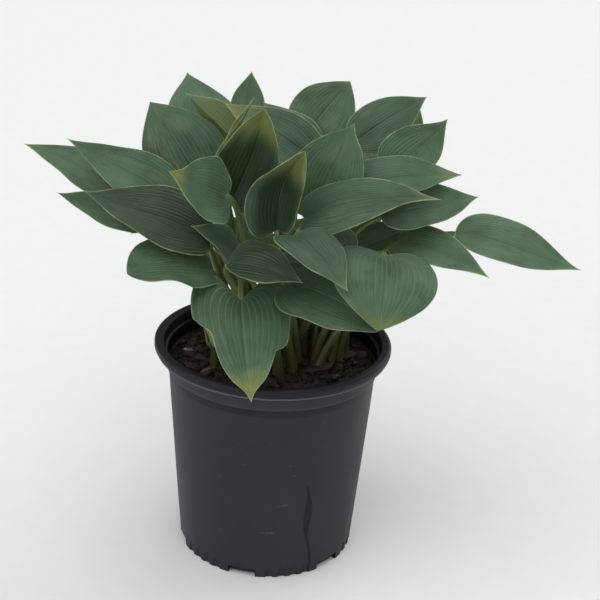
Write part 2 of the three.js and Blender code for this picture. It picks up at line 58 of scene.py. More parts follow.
# Nursery pot, millimetres
BASE_RADIUS = 86.5
WALL = 2
FLOOR = 3
SLOTS = 6
SLOT_TURN = -0.22               # of a slot pitch, from the front
SLOT_WIDTH = 27
SLOT_HEIGHT = 8
SLOT_REACH = (78, 95)           # radii between which a slot is cut
FLUTES_PER_GROUP = 4
FLUTE_PITCH = 8                 # degrees
FLUTE_HEIGHT = 12
POT_SIDES = 720
SHARP_EDGE = 32                 # degrees, above which the pot's edges are not smoothed

# Growing mix, millimetres
SOIL_LEVEL = 195
SOIL_RADIUS = 97.8
MOUND = 5
MIX_RINGS = 90
MIX_SIDES = 380
SKIRT_TOP = 184
EDGE_GAP = 0.2                  # from the mix to its radius
LOWEST = 0.5                    # of the mix, over the pot's floor

# Chips that stand out: x, y, length, width, height, heading and tilt in degrees, tone
CHOSEN_CHIPS = [
    (-82, 4, 9, 5, 2.4, 10, 6, 0.99), (-60, -45, 10, 8, 4.5, 30, -10, 0.93),
    (-54, -31, 3, 3, 2, 0, 0, 1), (-75, -33, 16, 12, 4, -20, 8, 0.66),
    (44, -31, 26, 15, 4, 15, -8, 0.6), (27, -4, 30, 18, 4, -12, 7, 0.55),
    (70, 6, 22, 14, 4, 25, -6, 0.6), (60, -42, 15, 9, 4, 70, 14, 0.68),
    (84, -34, 12, 8, 4, -50, -12, 0.5), (2, -66, 15, 9, 4, -35, 12, 0.66),
    (28, -68, 13, 10, 4, 20, 16, 0.7), (48, -56, 12, 7, 4, -70, -18, 0.45),
    (-90, 22, 12, 8, 4, 60, 12, 0.3), (-69, -14, 14, 9, 4, 0, -10, 0.35),
    (47, -10, 24, 1.4, 1.2, 32, -9, 0.97), (40, -17, 14, 1.1, 1, 58, 8, 0.95),
    (-34, -64, 13, 9, 4, 40, 10, 0.55), (14, 74, 18, 11, 4, 5, 9, 0.6),
    (-40, 62, 16, 10, 4, 80, -9, 0.5), (58, 58, 15, 9, 4, -30, 11, 0.92),
    (-12, 84, 10, 6, 3, 45, 6, 0.97),
]

# What a leaf's row holds, and what it has unless its row says otherwise. Lengths are millimetres
# and turns are degrees.
#   root           foot of the stalk, on the level of the mix
#   base, tip      the two ends of the blade's midrib
#   width          widest width, measured over the curved surface
#   roll           turn of the upper side about the line from base to tip
#   rise, droop    angle of the midrib above that line at the base and below it at the tip
#   sweep          sideways bow of the midrib
#   fold, curl     slope of the two halves at the midrib, and their further turn out to the margin
#   rim            how far the outermost margin rolls under
#   wave, waves    height and count of the margin's waves
#   lobe           how far the two lobes reach back past the stalk
#   heel, taper    exponents of the outline near the base and near the tip
#   lean, neck     sideways pull of the stalk at its foot, and length of its bend under the blade
#   foot           radius of the stalk in the mix
#   veins, quilt   count of side veins in each half, and how far the blade swells between them
#   bites          where a margin is drawn in: side (0 is both), start, deepest, end and depth
#   yellow         where the tip's yellow starts along the blade, and its strength: ageing, and
#                  on the cupped middle leaves also painted glow of light through the tip
#   pale, worn     shares of pale new tissue and of weathered patches over the whole blade
#   tone           from the deep green (0 or less) to the palest blue-green (1)
#   deep, lines    how far painted shade darkens the blade in its cup, and how clear its veins are
LEAF = dict(
    sweep=0, fold=14, curl=0, rim=0, wave=1.5, waves=2, lobe=0.13, heel=0.7, taper=1.4,
    lean=(0, 0), neck=0.28, foot=4.6, veins=9, quilt=0.45, bites=(), yellow=(0.9, 0.4),
    pale=0.0, worn=0.15, tone=0.5, deep=0.0, lines=1.0,
)


def row(root, base, tip, width, roll=0, rise=20, droop=20, **rest):
    """A leaf's own values: the seven that every leaf has, and whatever it has of its own."""
    return dict(root=root, base=base, tip=tip, width=width, roll=roll, rise=rise, droop=droop,
                **rest)


LEAVES = {
    "front_leaf_1": row((5, -39), (-28, -82, 288), (-13, -159, 227), 90, -4, 8, 14, sweep=4, fold=6,
        curl=-20, wave=2.5, lobe=0.4, heel=0.5, taper=1.2, lean=(12, -20), neck=0.8,
        bites=((-1, 0.53, 0.56, 0.98, 0.24), (1, 0.36, 0.42, 1, 0.32), (0, 0.8, 0.95, 1.3, 0.4)),
        veins=8, quilt=0.3, yellow=(0.66, 0.8), worn=0.1, lines=1.35),
    "front_leaf_2": row((-10, -26), (-41, -64, 315), (26, -103, 316), 58, 24, 25, 8, fold=16,
        curl=-20, lean=(19, -1), neck=0.21, bites=((1, -0.01, 0.03, 0.85, 0.5),), tone=-0.2,
        deep=0.85),
    "front_leaf_3": row((0, -15), (14, -74, 348), (64, -132, 322), 60, 0, 30, 0, curl=-15,
        quilt=0.35, yellow=(0.8, 0.5), tone=0.45),
    "front_leaf_4": row((21, -31), (13, -61, 297), (93, -104, 274), 74, 22, 25, 35, fold=6,
        curl=-10, wave=3, heel=0.6, taper=0.9, bites=((-1, 0.6, 0.64, 0.78, 0.14),
        (-1, 0.76, 0.79, 1, 0.16)), veins=10, worn=0.4),
    "front_leaf_5": row((40, -16), (97, -74, 334), (92, -118, 281), 102, -16, 45, 35, fold=5,
        curl=-30, wave=2.5, lobe=0.32, heel=0.55, taper=1, veins=10, yellow=(0.7, 0.5), tone=0.6,
        lines=1.1),
    "left_leaf_1": row((-53, -25), (-57, -51, 303), (-128, -90, 311), 62, -28, 35, 60, fold=10,
        curl=-10, wave=4, taper=0.8, lean=(-4, -3), neck=0.27, worn=0.3, tone=0.45, lines=1.2),
    "left_leaf_2": row((-36, -9), (-62, -42, 330), (-169, -62, 375), 70, -32, 14, -5, fold=12,
        curl=-8, taper=1.3, veins=10, tone=-0.15, deep=0.45),
    "left_leaf_3": row((-52, -8), (-127, -12, 328), (-206, 2, 351), 46, -25, 15, 0, fold=12),
    "left_leaf_4": row((-46, 5), (-91, -8, 348), (-196, 4, 403), 60, -32, 10, -2, fold=12, curl=-5,
        worn=0.3, tone=0.65),
    "left_leaf_5": row((-58, 12), (-148, 30, 345), (-246, 50, 382), 50, -25, 15, 10, fold=10,
        curl=-5, yellow=(0.8, 0.5), tone=0.6),
    "upper_leaf_1": row((-34, 20), (-72, 30, 355), (-127, 60, 426), 80, -40, 14, 14, fold=4,
        curl=-8, taper=1.1, veins=10, worn=0.5, tone=0.45),
    "upper_leaf_2": row((-25, 36), (-73, 76, 385), (-100, 138, 438), 70, -5, 12, 8, fold=4, veins=7,
        worn=0.4, tone=0.7),
    "upper_leaf_3": row((-7, 25), (-34, 46, 387), (-96, 75, 433), 54, 70, 5, 5, fold=16,
        lean=(-2, 0), neck=0.14, pale=0.45),
    "upper_leaf_4": row((-6, 42), (-38, 96, 393), (-36, 148, 440), 36, 0, 12, 12, fold=10),
    "upper_leaf_5": row((14, 26), (32, 26, 387), (-56, 49, 431), 54, -40, 10, 5, fold=12, taper=1.3,
        lean=(6, 4), neck=0.16, yellow=(0.6, 0.6)),
    "upper_leaf_6": row((25, 47), (32, 52, 384), (-22, 78, 427), 42, -35, 10, 5, fold=12, taper=1.3,
        neck=0.12, pale=0.2),
    "upper_leaf_7": row((10, 37), (21, 68, 398), (62, 104, 445), 64, 35, 12, 12, fold=4, curl=-5,
        taper=1.1, worn=0.4, tone=0.65),
    "upper_leaf_8": row((40, 28), (69, 54, 399), (136, 86, 438), 50, 40, 15, 10, fold=6, curl=-10,
        taper=1.3, lean=(10, -8)),
    "upper_leaf_9": row((46, 48), (103, 74, 385), (130, 100, 425), 60, -110, 5, 0, fold=8, taper=1),
    "middle_leaf_1": row((-23, -5), (-45, -42, 371), (-94, -72, 400), 62, -66, -4, -8, fold=3,
        curl=22, wave=3, lobe=0.12, heel=0.42, taper=1.15, lean=(-7, 0), neck=0.13,
        bites=((1, -0.01, 0.01, 0.45, 0.42), (-1, 0.6, 0.85, 1.3, 0.35), (1, 0.6, 0.85, 1.3, 0.35)),
        veins=10, quilt=0.35, yellow=(0.66, 1), tone=0.6, deep=0.1),
    # The next two cupped leaves take painted shade in their cups (deep), and their early yellow
    # also paints light glowing through their tips
    "middle_leaf_2": row((-11, 1), (-44, -8, 354), (-16, -30, 449), 78, 120, -22, -22, sweep=8,
        fold=(22, 15), curl=(40, 45), rim=5, lobe=0.1, heel=0.5, taper=1, lean=(5, 5), neck=0.26,
        bites=((-1, -0.02, 0, 0.3, 0.4),), quilt=0.25, yellow=(0.55, 0.7), tone=0.3, deep=0.95,
        lines=0.5),
    "middle_leaf_3": row((14, -18), (0, -40, 341), (22, -51, 418), 74, 138, -34, -30, sweep=-10,
        fold=(12, 62), curl=(22, 35), rim=9, wave=1, lobe=0.2, heel=0.5, taper=0.8, lean=(5, 2),
        neck=0.34, bites=((-1, 0.6, 0.86, 1.4, 0.5), (1, -0.01, 0.01, 0.4, 0.2)), quilt=0.25,
        yellow=(0.5, 0.6), tone=0.3, deep=0.9, lines=0.6),
    "middle_leaf_4": row((25, -14), (24, -36, 351), (144, -54, 381), 56, 32, 22, 25, fold=(12, 12),
        curl=(-10, -35), bites=((1, 0.4, 0.8, 1.4, 0.4), (-1, 0.75, 0.92, 1.4, 0.4)), veins=10,
        yellow=(0.75, 0.6), worn=0.3, tone=0.4),
    "middle_leaf_5": row((30, 4), (31, -10, 343), (65, 2, 431), 76, 44, 12, 5, fold=8, taper=1.1,
        bites=((0, 0.8, 0.95, 1.3, 0.35),), veins=10, worn=0.45, tone=0.6),
    "inner_leaf_1": row((3, 8), (-37, 35, 309), (-46, 41, 364), 36, 58, fold=8, lean=(17, 8),
        neck=0.34, deep=0.5),
    "inner_leaf_2": row((-23, -36), (-35, -31, 305), (-77, -48, 343), 46, -28, fold=10,
        lean=(-6, 3), neck=0.13, deep=0.45),
    "inner_leaf_3": row((-12, -14), (-12, 18, 283), (-33, 14, 336), 42, 91, fold=8, lean=(3, 5),
        neck=0.21, deep=0.35),
    "inner_leaf_4": row((15, -1), (43, -24, 296), (-3, -32, 312), 40, -69, fold=8, lean=(3, -7),
        neck=0.26, deep=0.4),
    "inner_leaf_5": row((40, -28), (66, -28, 312), (20, -25, 340), 46, -70, fold=8, lean=(8, 7),
        neck=0.33, deep=0.3),
    "inner_leaf_6": row((4, 20), (20, 34, 363), (-17, 40, 394), 42, -70, fold=8, pale=0.55,
        deep=0.5),
    "inner_leaf_7": row((40, -4), (79, 9, 307), (128, 23, 329), 38, 64, fold=8, lean=(-2, -4),
        neck=0.36, deep=0.3),
    "right_leaf_1": row((55, -12), (111, -16, 325), (191, -68, 315), 46, 30, 30, fold=20, curl=-20,
        quilt=0.5, yellow=(0.8, 0.5), lines=1.2),
    "right_leaf_2": row((62, -2), (162, -22, 340), (277, -42, 317), 54, 30, 20, -6, fold=15,
        curl=-10, heel=1, taper=1.5, veins=11, quilt=0.55, yellow=(0.86, 0.7), worn=0.4, tone=0.85,
        lines=1.4),
    "right_leaf_3": row((48, 6), (94, -20, 352), (183, 0, 368), 60, 25, 4, 0, fold=8, heel=0.8,
        taper=1.3),
    "right_leaf_4": row((42, 19), (64, -1, 371), (167, 7, 386), 54, 30, 18, 8, fold=10, curl=-5,
        taper=1.3, yellow=(0.7, 0.5)),
    "right_leaf_5": row((53, 27), (100, 24, 378), (154, 54, 426), 56, 38, -5, -35, fold=12, curl=12,
        heel=0.8),
    "back_leaf_1": row((67, 34), (104, 48, 335), (172, 118, 325), 60),
    "back_leaf_2": row((57, 56), (75, 90, 365), (135, 165, 350), 62),
    "back_leaf_3": row((28, 60), (50, 100, 345), (95, 200, 305), 64),
    "back_leaf_4": row((12, 54), (22, 108, 372), (42, 200, 368), 62),
    "back_leaf_5": row((4, 68), (8, 90, 300), (18, 190, 250), 66),
    "back_leaf_6": row((-10, 56), (-20, 112, 350), (-12, 215, 322), 62),
    "back_leaf_7": row((-22, 64), (-48, 100, 335), (-66, 200, 295), 64),
    "back_leaf_8": row((-36, 50), (-72, 95, 360), (-120, 172, 345), 60),
    "back_leaf_9": row((-46, 36), (-90, 65, 325), (-175, 122, 295), 62),
    "back_leaf_10": row((-59, 30), (-82, 48, 298), (-150, 86, 282), 60),
    "back_leaf_11": row((43, 65), (62, 80, 300), (132, 150, 258), 64),
    "back_leaf_12": row((69, 17), (98, 22, 296), (152, 56, 288), 58),
    "back_leaf_13": row((-38, 66), (-50, 80, 290), (-105, 158, 246), 62),
    "furled_leaf": row((-19, 21), (-56, 13, 385), (-27, 22, 445), 14, 20, 5, -5, fold=55, curl=30,
        heel=0.5, taper=1, veins=4, quilt=0.2, pale=0.75),
    "young_leaf": row((-38, -30), (-56, -54, 232), (-71, -60, 270), 42, -30, 5, 10, fold=20,
        curl=20, taper=0.8, neck=0.15, foot=3, quilt=0.2, pale=1, worn=0.3, lines=0.6),
}
BACK_VEINS = 6
BLADE_ROWS = 48
BACK_ROWS = 36
COLUMNS_PER_VEIN = 6

STALK_DEPTH = 12
STALK_STEPS = 36
STALK_SIDES = 20
STALK_NECK_RADIUS = 2.4
STALK_FLARE = 0.3               # how much wider a stalk is in the mix, over its radius
NECK_DROP = 1.5                 # from the blade's surface to the stalk's middle
RIB_START = 0.03                # shares of the midrib between which the stalk runs on as a rib
RIB_END = 0.62
RIB_STEPS = 14
FOOT_SHADE = 120                # height over the mix at which a stalk's height field is 1
GROOVE_DEPTH = 0.5              # of the midrib
GROOVE_WIDTH = 1.6
DRIFT = 2.2                     # of a whole blade's uneven rise and fall
RIPPLES = 7                     # of the margin, and their height
RIPPLE_HEIGHT = 0.5

# Studio: half the paper's side in millimetres, and the suns' strength over the key's, pitch,
# heading and spread in degrees
PAPER = 9000
SUNS = {"key": (1.0, 34, -28, 95), "back": (0.5, 50, 140, 70)}


# ---------------------------------------------------------------- small array helpers

def unit(rows):
    """Each row divided by its length."""
    return rows / np.maximum(np.linalg.norm(rows, axis=-1, keepdims=True), 1e-9)


def smooth(value, low, high):
    """Smoothstep: 0 below low, 1 above high, and 3t^2 - 2t^3 between them."""
    t = np.clip((value - low) / (high - low), 0, 1)
    return t * t * (3 - 2 * t)


def both(value):
    """The left and the right half's value, where one number stands for the two."""
    return value if isinstance(value, tuple) else (value, value)


def lattice(seed):
    """A table of random numbers for value noise."""
    return np.random.default_rng(seed).random((97, 97))


def value_noise(x, y, table):
    """Random heights on whole-number points, blended between them by smoothstep, in 0 to 1."""
    size = len(table)
    column, line = np.floor(x).astype(int), np.floor(y).astype(int)
    a, b = smooth(x - column, 0, 1), smooth(y - line, 0, 1)
    near, far = line % size, (line + 1) % size
    left, right = column % size, (column + 1) % size
    low = table[near, left] * (1 - a) + table[near, right] * a
    high = table[far, left] * (1 - a) + table[far, right] * a
    return low * (1 - b) + high * b


def grid_faces(rows, columns, closed=True):
    """Four-cornered faces of a grid of points stored row by row. A closed row is a ring."""
    across = columns if closed else columns - 1
    i, j = np.meshgrid(np.arange(rows - 1), np.arange(across), indexing="ij")
    k = (j + 1) % columns
    corners = [i * columns + j, i * columns + k, (i + 1) * columns + k, (i + 1) * columns + j]
    return np.stack(corners, axis=-1).reshape(-1, 4)


def fan_faces(centre, ring):
    """Triangles from a centre point to a closed ring of points, the last corner written twice."""
    following = np.roll(ring, -1)
    middle = np.full_like(ring, centre)
    return np.stack([middle, ring, following, following], axis=-1)


def tube_faces(rings, sides, flip=False):
    """Faces of a tube of rings and of its two ends, each a fan round a point stored after the
    rings: first the start's, then the end's. Flip turns every face the other way."""
    count, turn = rings * sides, -1 if flip else 1
    first, last = np.arange(sides), np.arange(count - sides, count)
    return np.concatenate([
        grid_faces(rings, sides)[:, ::turn], fan_faces(count, first[::-turn]),
        fan_faces(count + 1, last[::turn]),
    ])


def turned(r, turn, z):
    """Points at a radius, an angle in radians and a height, which are broadcast together."""
    return np.stack(np.broadcast_arrays(r * np.cos(turn), r * np.sin(turn), z), axis=-1)


class Surface:
    """Points, faces and what goes with them. A triangle is a face whose last corner comes twice."""

    def __init__(self, points, faces, uv=None, slot=0, **fields):
        self.points = np.asarray(points, float).reshape(-1, 3)
        self.faces = np.asarray(faces, int).reshape(-1, 4)
        count = len(self.points)
        self.uv = np.zeros((count, 2)) if uv is None else np.asarray(uv, float).reshape(-1, 2)
        self.slots = np.broadcast_to(slot, len(self.faces))
        self.fields = {key: np.broadcast_to(value, count) for key, value in fields.items()}


def joined(surfaces):
    """One surface that holds several, each left closed in itself. A field missing from one is 0."""
    starts = np.cumsum([0] + [len(s.points) for s in surfaces])
    names = sorted({key for s in surfaces for key in s.fields})
    whole = Surface(
        np.concatenate([s.points for s in surfaces]),
        np.concatenate([s.faces + start for s, start in zip(surfaces, starts)]),
        np.concatenate([s.uv for s in surfaces]),
    )
    whole.slots = np.concatenate([s.slots for s in surfaces])
    whole.fields = {
        key: np.concatenate([s.fields.get(key, np.zeros(len(s.points))) for s in surfaces])
        for key in names
    }
    return whole


def add_piece(name, surface, materials):
    """Makes a mesh object of a surface, from millimetres to metres, with its place in its mesh."""
    keep = np.ones(surface.faces.shape, bool)
    keep[:, 3] = surface.faces[:, 3] != surface.faces[:, 2]
    corners = surface.faces[keep]
    totals = keep.sum(axis=1)
    mesh = bpy.data.meshes.new(name)
    mesh.vertices.add(len(surface.points))
    mesh.vertices.foreach_set("co", (surface.points * MM).astype(np.float32).ravel())
    mesh.loops.add(len(corners))
    mesh.loops.foreach_set("vertex_index", corners.astype(np.int32))
    mesh.polygons.add(len(totals))
    mesh.polygons.foreach_set("loop_start", (np.cumsum(totals) - totals).astype(np.int32))
    mesh.polygons.foreach_set("use_smooth", np.ones(len(totals), bool))
    mesh.polygons.foreach_set("material_index", surface.slots.astype(np.int32))
    mesh.update(calc_edges=True)
    uv = mesh.uv_layers.new(name="UVMap")
    uv.data.foreach_set("uv", surface.uv[corners].astype(np.float32).ravel())
    for key, values in surface.fields.items():
        layer = mesh.attributes.new(key, "FLOAT", "POINT")
        layer.data.foreach_set("value", values.astype(np.float32))
    for material in materials:
        mesh.materials.append(material)
    piece = bpy.data.objects.new(name, mesh)
    bpy.context.scene.collection.objects.link(piece)
    return piece


def put_in_place(piece, node):
    """The piece rides on the part and, where it stands for a CAD node, hides that node."""
    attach(piece, "root")
    if node:
        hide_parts(node)


# ---------------------------------------------------------------- leaves

def midrib(leaf, t):
    """Cubic Hermite curve from base to tip, run straight on behind the base where t is below 0.

    Returns its points, tangents, normals (towards the upper side) and sides, one row for each t.
    """
    base, tip = np.array(leaf["base"], float), np.array(leaf["tip"], float)
    length = np.linalg.norm(tip - base)
    along = (tip - base) / length
    up = unit(np.array([0, 0, 1.0]) - along * along[2])
    roll = math.radians(leaf["roll"])
    up = up * math.cos(roll) + np.cross(along, up) * math.sin(roll)
    side = np.cross(along, up)
    rise, droop = math.radians(leaf["rise"]), math.radians(leaf["droop"])
    bow = math.sin(math.radians(leaf["sweep"])) * side
    start = (along * math.cos(rise) + up * math.sin(rise) + bow) * length
    end = (along * math.cos(droop) - up * math.sin(droop) - bow) * length
    t = np.asarray(t, float)[..., None]
    c = np.clip(t, 0, 1)
    point = (base * (2 * c**3 - 3 * c**2 + 1) + start * (c**3 - 2 * c**2 + c)
             + tip * (3 * c**2 - 2 * c**3) + end * (c**3 - c**2) + start * np.minimum(t, 0))
    tangent = unit(base * (6 * c**2 - 6 * c) + start * (3 * c**2 - 4 * c + 1)
                   + tip * (6 * c - 6 * c**2) + end * (3 * c**2 - 2 * c))
    normal = unit(up - tangent * (tangent @ up)[..., None])
    return point, tangent, normal, np.cross(tangent, normal)


def outline(leaf, s):
    """Half width over its largest: (s/p)^heel ((1-s)/(1-p))^taper, which peaks at p."""
    peak = leaf["heel"] / (leaf["heel"] + leaf["taper"])
    return (s / peak) ** leaf["heel"] * ((1 - s) / (1 - peak)) ** leaf["taper"]


def blade_points(leaf, s, v):
    """The middle surface of a blade. At a share of the half width out, each half is an arc from
    the slope fold that turns on by curl: across = R (sin(fold + curl out) - sin(fold)) and
    lift = R (cos(fold) - cos(fold + curl out)), where R = width / 2 / curl. The margin waves by
    wave sin(2 pi waves s) out^2 and may roll under, and the lobes reach back."""
    half = outline(leaf, s)
    out = np.abs(v) * half
    back = 1.6 * leaf["lobe"] * half * (1 - s) ** 3
    point, _, normal, side = midrib(leaf, s - np.abs(v) ** 1.5 * back)
    right = v > 0
    fold = np.radians(np.where(right, both(leaf["fold"])[1], both(leaf["fold"])[0]))
    curl = np.where(right, both(leaf["curl"])[1], both(leaf["curl"])[0]).astype(float)
    curl = np.radians(np.where(curl == 0, 0.1, curl))
    radius = leaf["width"] / 2 / curl
    across = radius * (np.sin(fold + curl * out) - np.sin(fold))
    ripple = np.sin(2 * np.pi * (leaf["waves"] * s + 0.37 * right)) * out**2
    under = np.clip((out - 0.6) / 0.4, 0, None) ** 2
    lift = (radius * (np.cos(fold) - np.cos(fold + curl * out)) + leaf["wave"] * ripple
            - leaf["rim"] * under)
    return point + side * (np.sign(v) * across)[..., None] + normal * lift[..., None]


def drawn_in(leaf, s, v):
    """v once its margin is drawn in: a bite deepens from its start and eases off to its end."""
    for side, start, deepest, end, depth in leaf["bites"]:
        bite = depth * smooth(s, start, deepest) * (1 - smooth(s, deepest, end))
        v = np.where(side * v >= 0, v * (1 - bite), v)
    return v


def blade_relief(leaf, looks, s, v, reach, table):
    """Count w of veins out from the midrib, a little unevenly, and height over the middle surface.

    Between veins the blade swells by quilt * (|sin(pi w)|^0.7 - 0.5). The midrib is a shallow
    groove, the whole blade drifts up and down a little, and the margin ripples.
    """
    near_edge = np.abs(v)
    uneven = value_noise(40 + 2.2 * s, 40 + 3 * (v + 1), table) - 0.5
    w = near_edge * leaf["veins"] + 0.7 * uneven * smooth(near_edge, 0, 0.15)
    swell = (np.abs(np.sin(np.pi * w)) ** 0.7 - 0.5) * (1 + 1.2 * uneven)
    room = smooth(reach, 3, 0.3 * leaf["width"]) * (1 - smooth(near_edge, 0.86, 0.98))
    groove = np.exp(-(near_edge * reach / GROOVE_WIDTH) ** 2) * smooth(1 - s, 0, 0.5)
    drift = value_noise(3 + 5 * s, 3 + 2.4 * (v + 1), table) - 0.5
    ripple = np.sin(2 * np.pi * (RIPPLES * s + table[0, 0]) + 5 * table[1, 0] * np.sign(v))
    return w, (leaf["quilt"] * looks.quilt * swell * room - GROOVE_DEPTH * groove * room
               + DRIFT * drift * smooth(reach, 2, 16)
               + RIPPLE_HEIGHT * ripple * smooth(near_edge, 0.75, 1) * room)


def blade_faces(rows, columns):
    """Faces of two sheets of a blade and of the strips along its margins, and their finishes:
    0 above and along the margin, 1 below. Each sheet's first and last row is one point."""
    ids = np.arange((rows + 1) * (columns + 1)).reshape(rows + 1, columns + 1)
    ids[0], ids[-1] = ids[0, 0], ids[-1, 0]
    body = ids.ravel()[grid_faces(rows + 1, columns + 1, closed=False).reshape(rows, columns, 4)]
    body[0] = body[0][:, [2, 3, 0, 0]]
    upper = body.reshape(-1, 4)
    lower = upper[:, [0, 3, 2, 1]].copy()
    flat = upper[:, 2] == upper[:, 3]
    lower[flat] = upper[flat][:, [0, 2, 1, 1]]
    count = ids.size
    left, right = ids[:, 0], ids[:, -1]
    strips = [
        np.stack([left[:-1], left[1:], left[1:] + count, left[:-1] + count], axis=-1),
        np.stack([right[1:], right[:-1], right[:-1] + count, right[1:] + count], axis=-1),
    ]
    finishes = np.repeat([0, 1, 0], [len(upper), len(lower), 2 * rows])
    return np.concatenate([upper, lower + count, *strips]), finishes


def blade_fields(leaf, s, v, reach, w, table):
    """What the blade's materials read, at each point. Distances are in millimetres."""
    near_edge = np.abs(v)
    # Yellow: ageing at the tip, and on the cupped middle leaves painted glow of light through the
    # tip
    start, strength = leaf["yellow"]
    patch = value_noise(9 + 7 * s, 9 + 5 * v, table)
    yellow = strength * smooth(s + 0.1 * (patch - 0.5), start, start + 0.22)
    # Painted shade: dark in the cups of the cupped leaves, and towards the base of every blade,
    # where the clump shades it
    painted_hollow_shade = leaf["deep"] * (1 - smooth(s, 0.5, 0.85)) * (1 - 0.75 * smooth(near_edge, 0.55, 0.95))
    inner = 0.6 * (1 - smooth(s + 0.25 * near_edge, 0.0, 0.6))
    return {
        "w": w,
        "pitch": reach / leaf["veins"],
        "rib": near_edge * reach,
        "edge": (np.abs(np.where(v > 0, v[:, -1:], v[:, :1])) - near_edge) * reach,
        "yellow": np.clip(yellow + leaf["pale"], 0, 1),
        "worn": leaf["worn"] * smooth(value_noise(20 + 3 * s, 20 + 2.5 * v, table), 0.55, 0.85),
        "tone": np.full_like(s, leaf["tone"] + 0.24 * (table[2, 0] - 0.5)),
        "deep": np.maximum(painted_hollow_shade, inner),
        "lines": leaf["lines"] * (1 - 0.7 * smooth(s, 0.35, 0.85)),
    }


def blade(leaf, looks, seed):
    """A thin closed blade: two like sheets, half a thickness to either side of the surface, which
    thin out towards the margin and the ends, joined along the margin."""
    rows, columns = (BACK_ROWS if leaf["far"] else BLADE_ROWS), COLUMNS_PER_VEIN * leaf["veins"]
    u = np.linspace(0, 1, rows + 1)
    s_line = 0.5 * u**1.5 + 0.5 * (1 - (1 - u) ** 1.3)
    s, v = np.meshgrid(s_line, np.linspace(-1, 1, columns + 1), indexing="ij")
    v = drawn_in(leaf, s, v)
    points = blade_points(leaf, s, v)
    normals = np.cross(np.gradient(points, axis=1), np.gradient(points, axis=0))
    normals[0], normals[-1] = normals[1].mean(axis=0), normals[-2].mean(axis=0)
    normals = unit(normals)

    reach = leaf["width"] / 2 * outline(leaf, np.clip(s, 1e-4, 1 - 1e-4))
    table = lattice(seed)
    w, relief = blade_relief(leaf, looks, s, v, reach, table)
    half = looks.thickness / 2 * (1 - 0.55 * np.abs(v) ** 8) * (0.45 + 0.55 * smooth(reach, 0, 8))
    sheets = [(points + normals * (relief + sign * half)[..., None]).reshape(-1, 3)
              for sign in (1, -1)]
    faces, finishes = blade_faces(rows, columns)
    uv = np.stack([(v + 1) / 2, s], axis=-1).reshape(-1, 2)
    fields = blade_fields(leaf, s, v, reach, w, table)
    return without_loose(Surface(
        np.concatenate(sheets), faces, np.concatenate([uv, uv]), finishes,
        **{key: np.tile(value.ravel(), 2) for key, value in fields.items()},
    ))


def without_loose(surface):
    """The surface without the points that no face uses."""
    used = np.unique(surface.faces)
    place = np.zeros(len(surface.points), int)
    place[used] = np.arange(len(used))
    surface.points, surface.uv = surface.points[used], surface.uv[used]
    surface.faces = place[surface.faces]
    surface.fields = {key: value[used] for key, value in surface.fields.items()}
    return surface


def stalk_path(leaf):
    """Middle line of a stalk: a Bezier curve from the mix up to the blade, then on under the
    midrib. Returns points, radii and the directions that the stalk's channel faces."""
    base, tangent, normal, _ = (part[0] for part in midrib(leaf, np.zeros(1)))
    foot = np.array([*leaf["root"], SOIL_LEVEL - STALK_DEPTH], float)
    head = base - NECK_DROP * normal
    reach = np.linalg.norm(head - foot)
    pull = np.array([*leaf["lean"], 0.38 * reach])
    bends = [foot, foot + pull, head - leaf["neck"] * reach * tangent, head]
    t = np.linspace(0, 1, STALK_STEPS + 1)[:, None]
    weights = [(1 - t) ** 3, 3 * t * (1 - t) ** 2, 3 * t**2 * (1 - t), t**3]
    climb = sum(weight * bend for weight, bend in zip(weights, bends))
    radii = leaf["foot"] + (STALK_NECK_RADIUS - leaf["foot"]) * t[:, 0]
    ground = climb[:, 2] - SOIL_LEVEL
    radii = radii * (1 + STALK_FLARE * np.exp(-np.clip(ground, 0, None) / 14))
    inward = unit(np.array([-foot[0], -foot[1], 40.0]))
    facing = unit(inward * (1 - t) + normal * t)

    share = np.linspace(RIB_START, RIB_END, RIB_STEPS)
    point, _, under, _ = midrib(leaf, share)
    rib_radii = 0.3 + 1.9 * (1 - share / RIB_END) ** 1.5
    rib = point - under * (rib_radii * 0.9 + 0.75)[:, None]
    return (np.concatenate([climb, rib]), np.concatenate([radii, rib_radii]),
            np.concatenate([facing, under]))


def stalk(leaf, looks, seed):
    """A channelled tube along the stalk's path.

    Its section is a circle of the stalk's radius, 12% wider than high, whose radius dips by a
    Gaussian of the angle from the channel's middle; fine ridges run along it.
    """
    path, radii, facing = stalk_path(leaf)
    tangent = unit(np.gradient(path, axis=0))
    up = unit(facing - tangent * np.sum(facing * tangent, axis=1, keepdims=True))
    side = np.cross(tangent, up)
    angle = np.linspace(0, 2 * np.pi, STALK_SIDES, endpoint=False) - np.pi
    share = np.linspace(0, 1, len(path))[:, None]
    dip = looks.channel * smooth(share, 0.03, 0.3) * np.exp(-(angle / 0.6) ** 2)
    ridge = 0.02 * np.cos(9 * angle + 6 * share + seed)
    size = radii[:, None] * (1 - dip + ridge)
    points = (path[:, None] + up[:, None] * (0.94 * size * np.cos(angle))[..., None]
              + side[:, None] * (1.06 * size * np.sin(angle))[..., None])
    length = np.concatenate([[0], np.cumsum(np.linalg.norm(np.diff(path, axis=0), axis=1))])
    uv = np.stack(np.broadcast_arrays(angle / (2 * np.pi) + 0.5, length[:, None] * 0.01), axis=-1)
    uv = np.concatenate([uv.reshape(-1, 2), [[0.5, 0], [0.5, 1]]])
    points = np.concatenate([points.reshape(-1, 3), path[:1], path[-1:]])
    height = np.clip((points[:, 2] - SOIL_LEVEL) / FOOT_SHADE, 0, 1)
    return Surface(points, tube_faces(*size.shape), uv, 2, height=height)


def full_row(name):
    """A leaf's own values over the ones that every leaf has."""
    far = name.startswith("back_leaf")
    leaf = dict(LEAF, far=far, **LEAVES[name])
    if far:
        leaf["veins"] = BACK_VEINS
    return leaf


# ---------------------------------------------------------------- pot

def arc(centre, radius, start, end, steps):
    """Points [r, z] on an arc in the profile's plane, angles in degrees from outwards."""
    turn = np.radians(np.linspace(start, end, steps))
    return np.stack([centre[0] + radius * np.cos(turn), centre[1] + radius * np.sin(turn)], axis=-1)


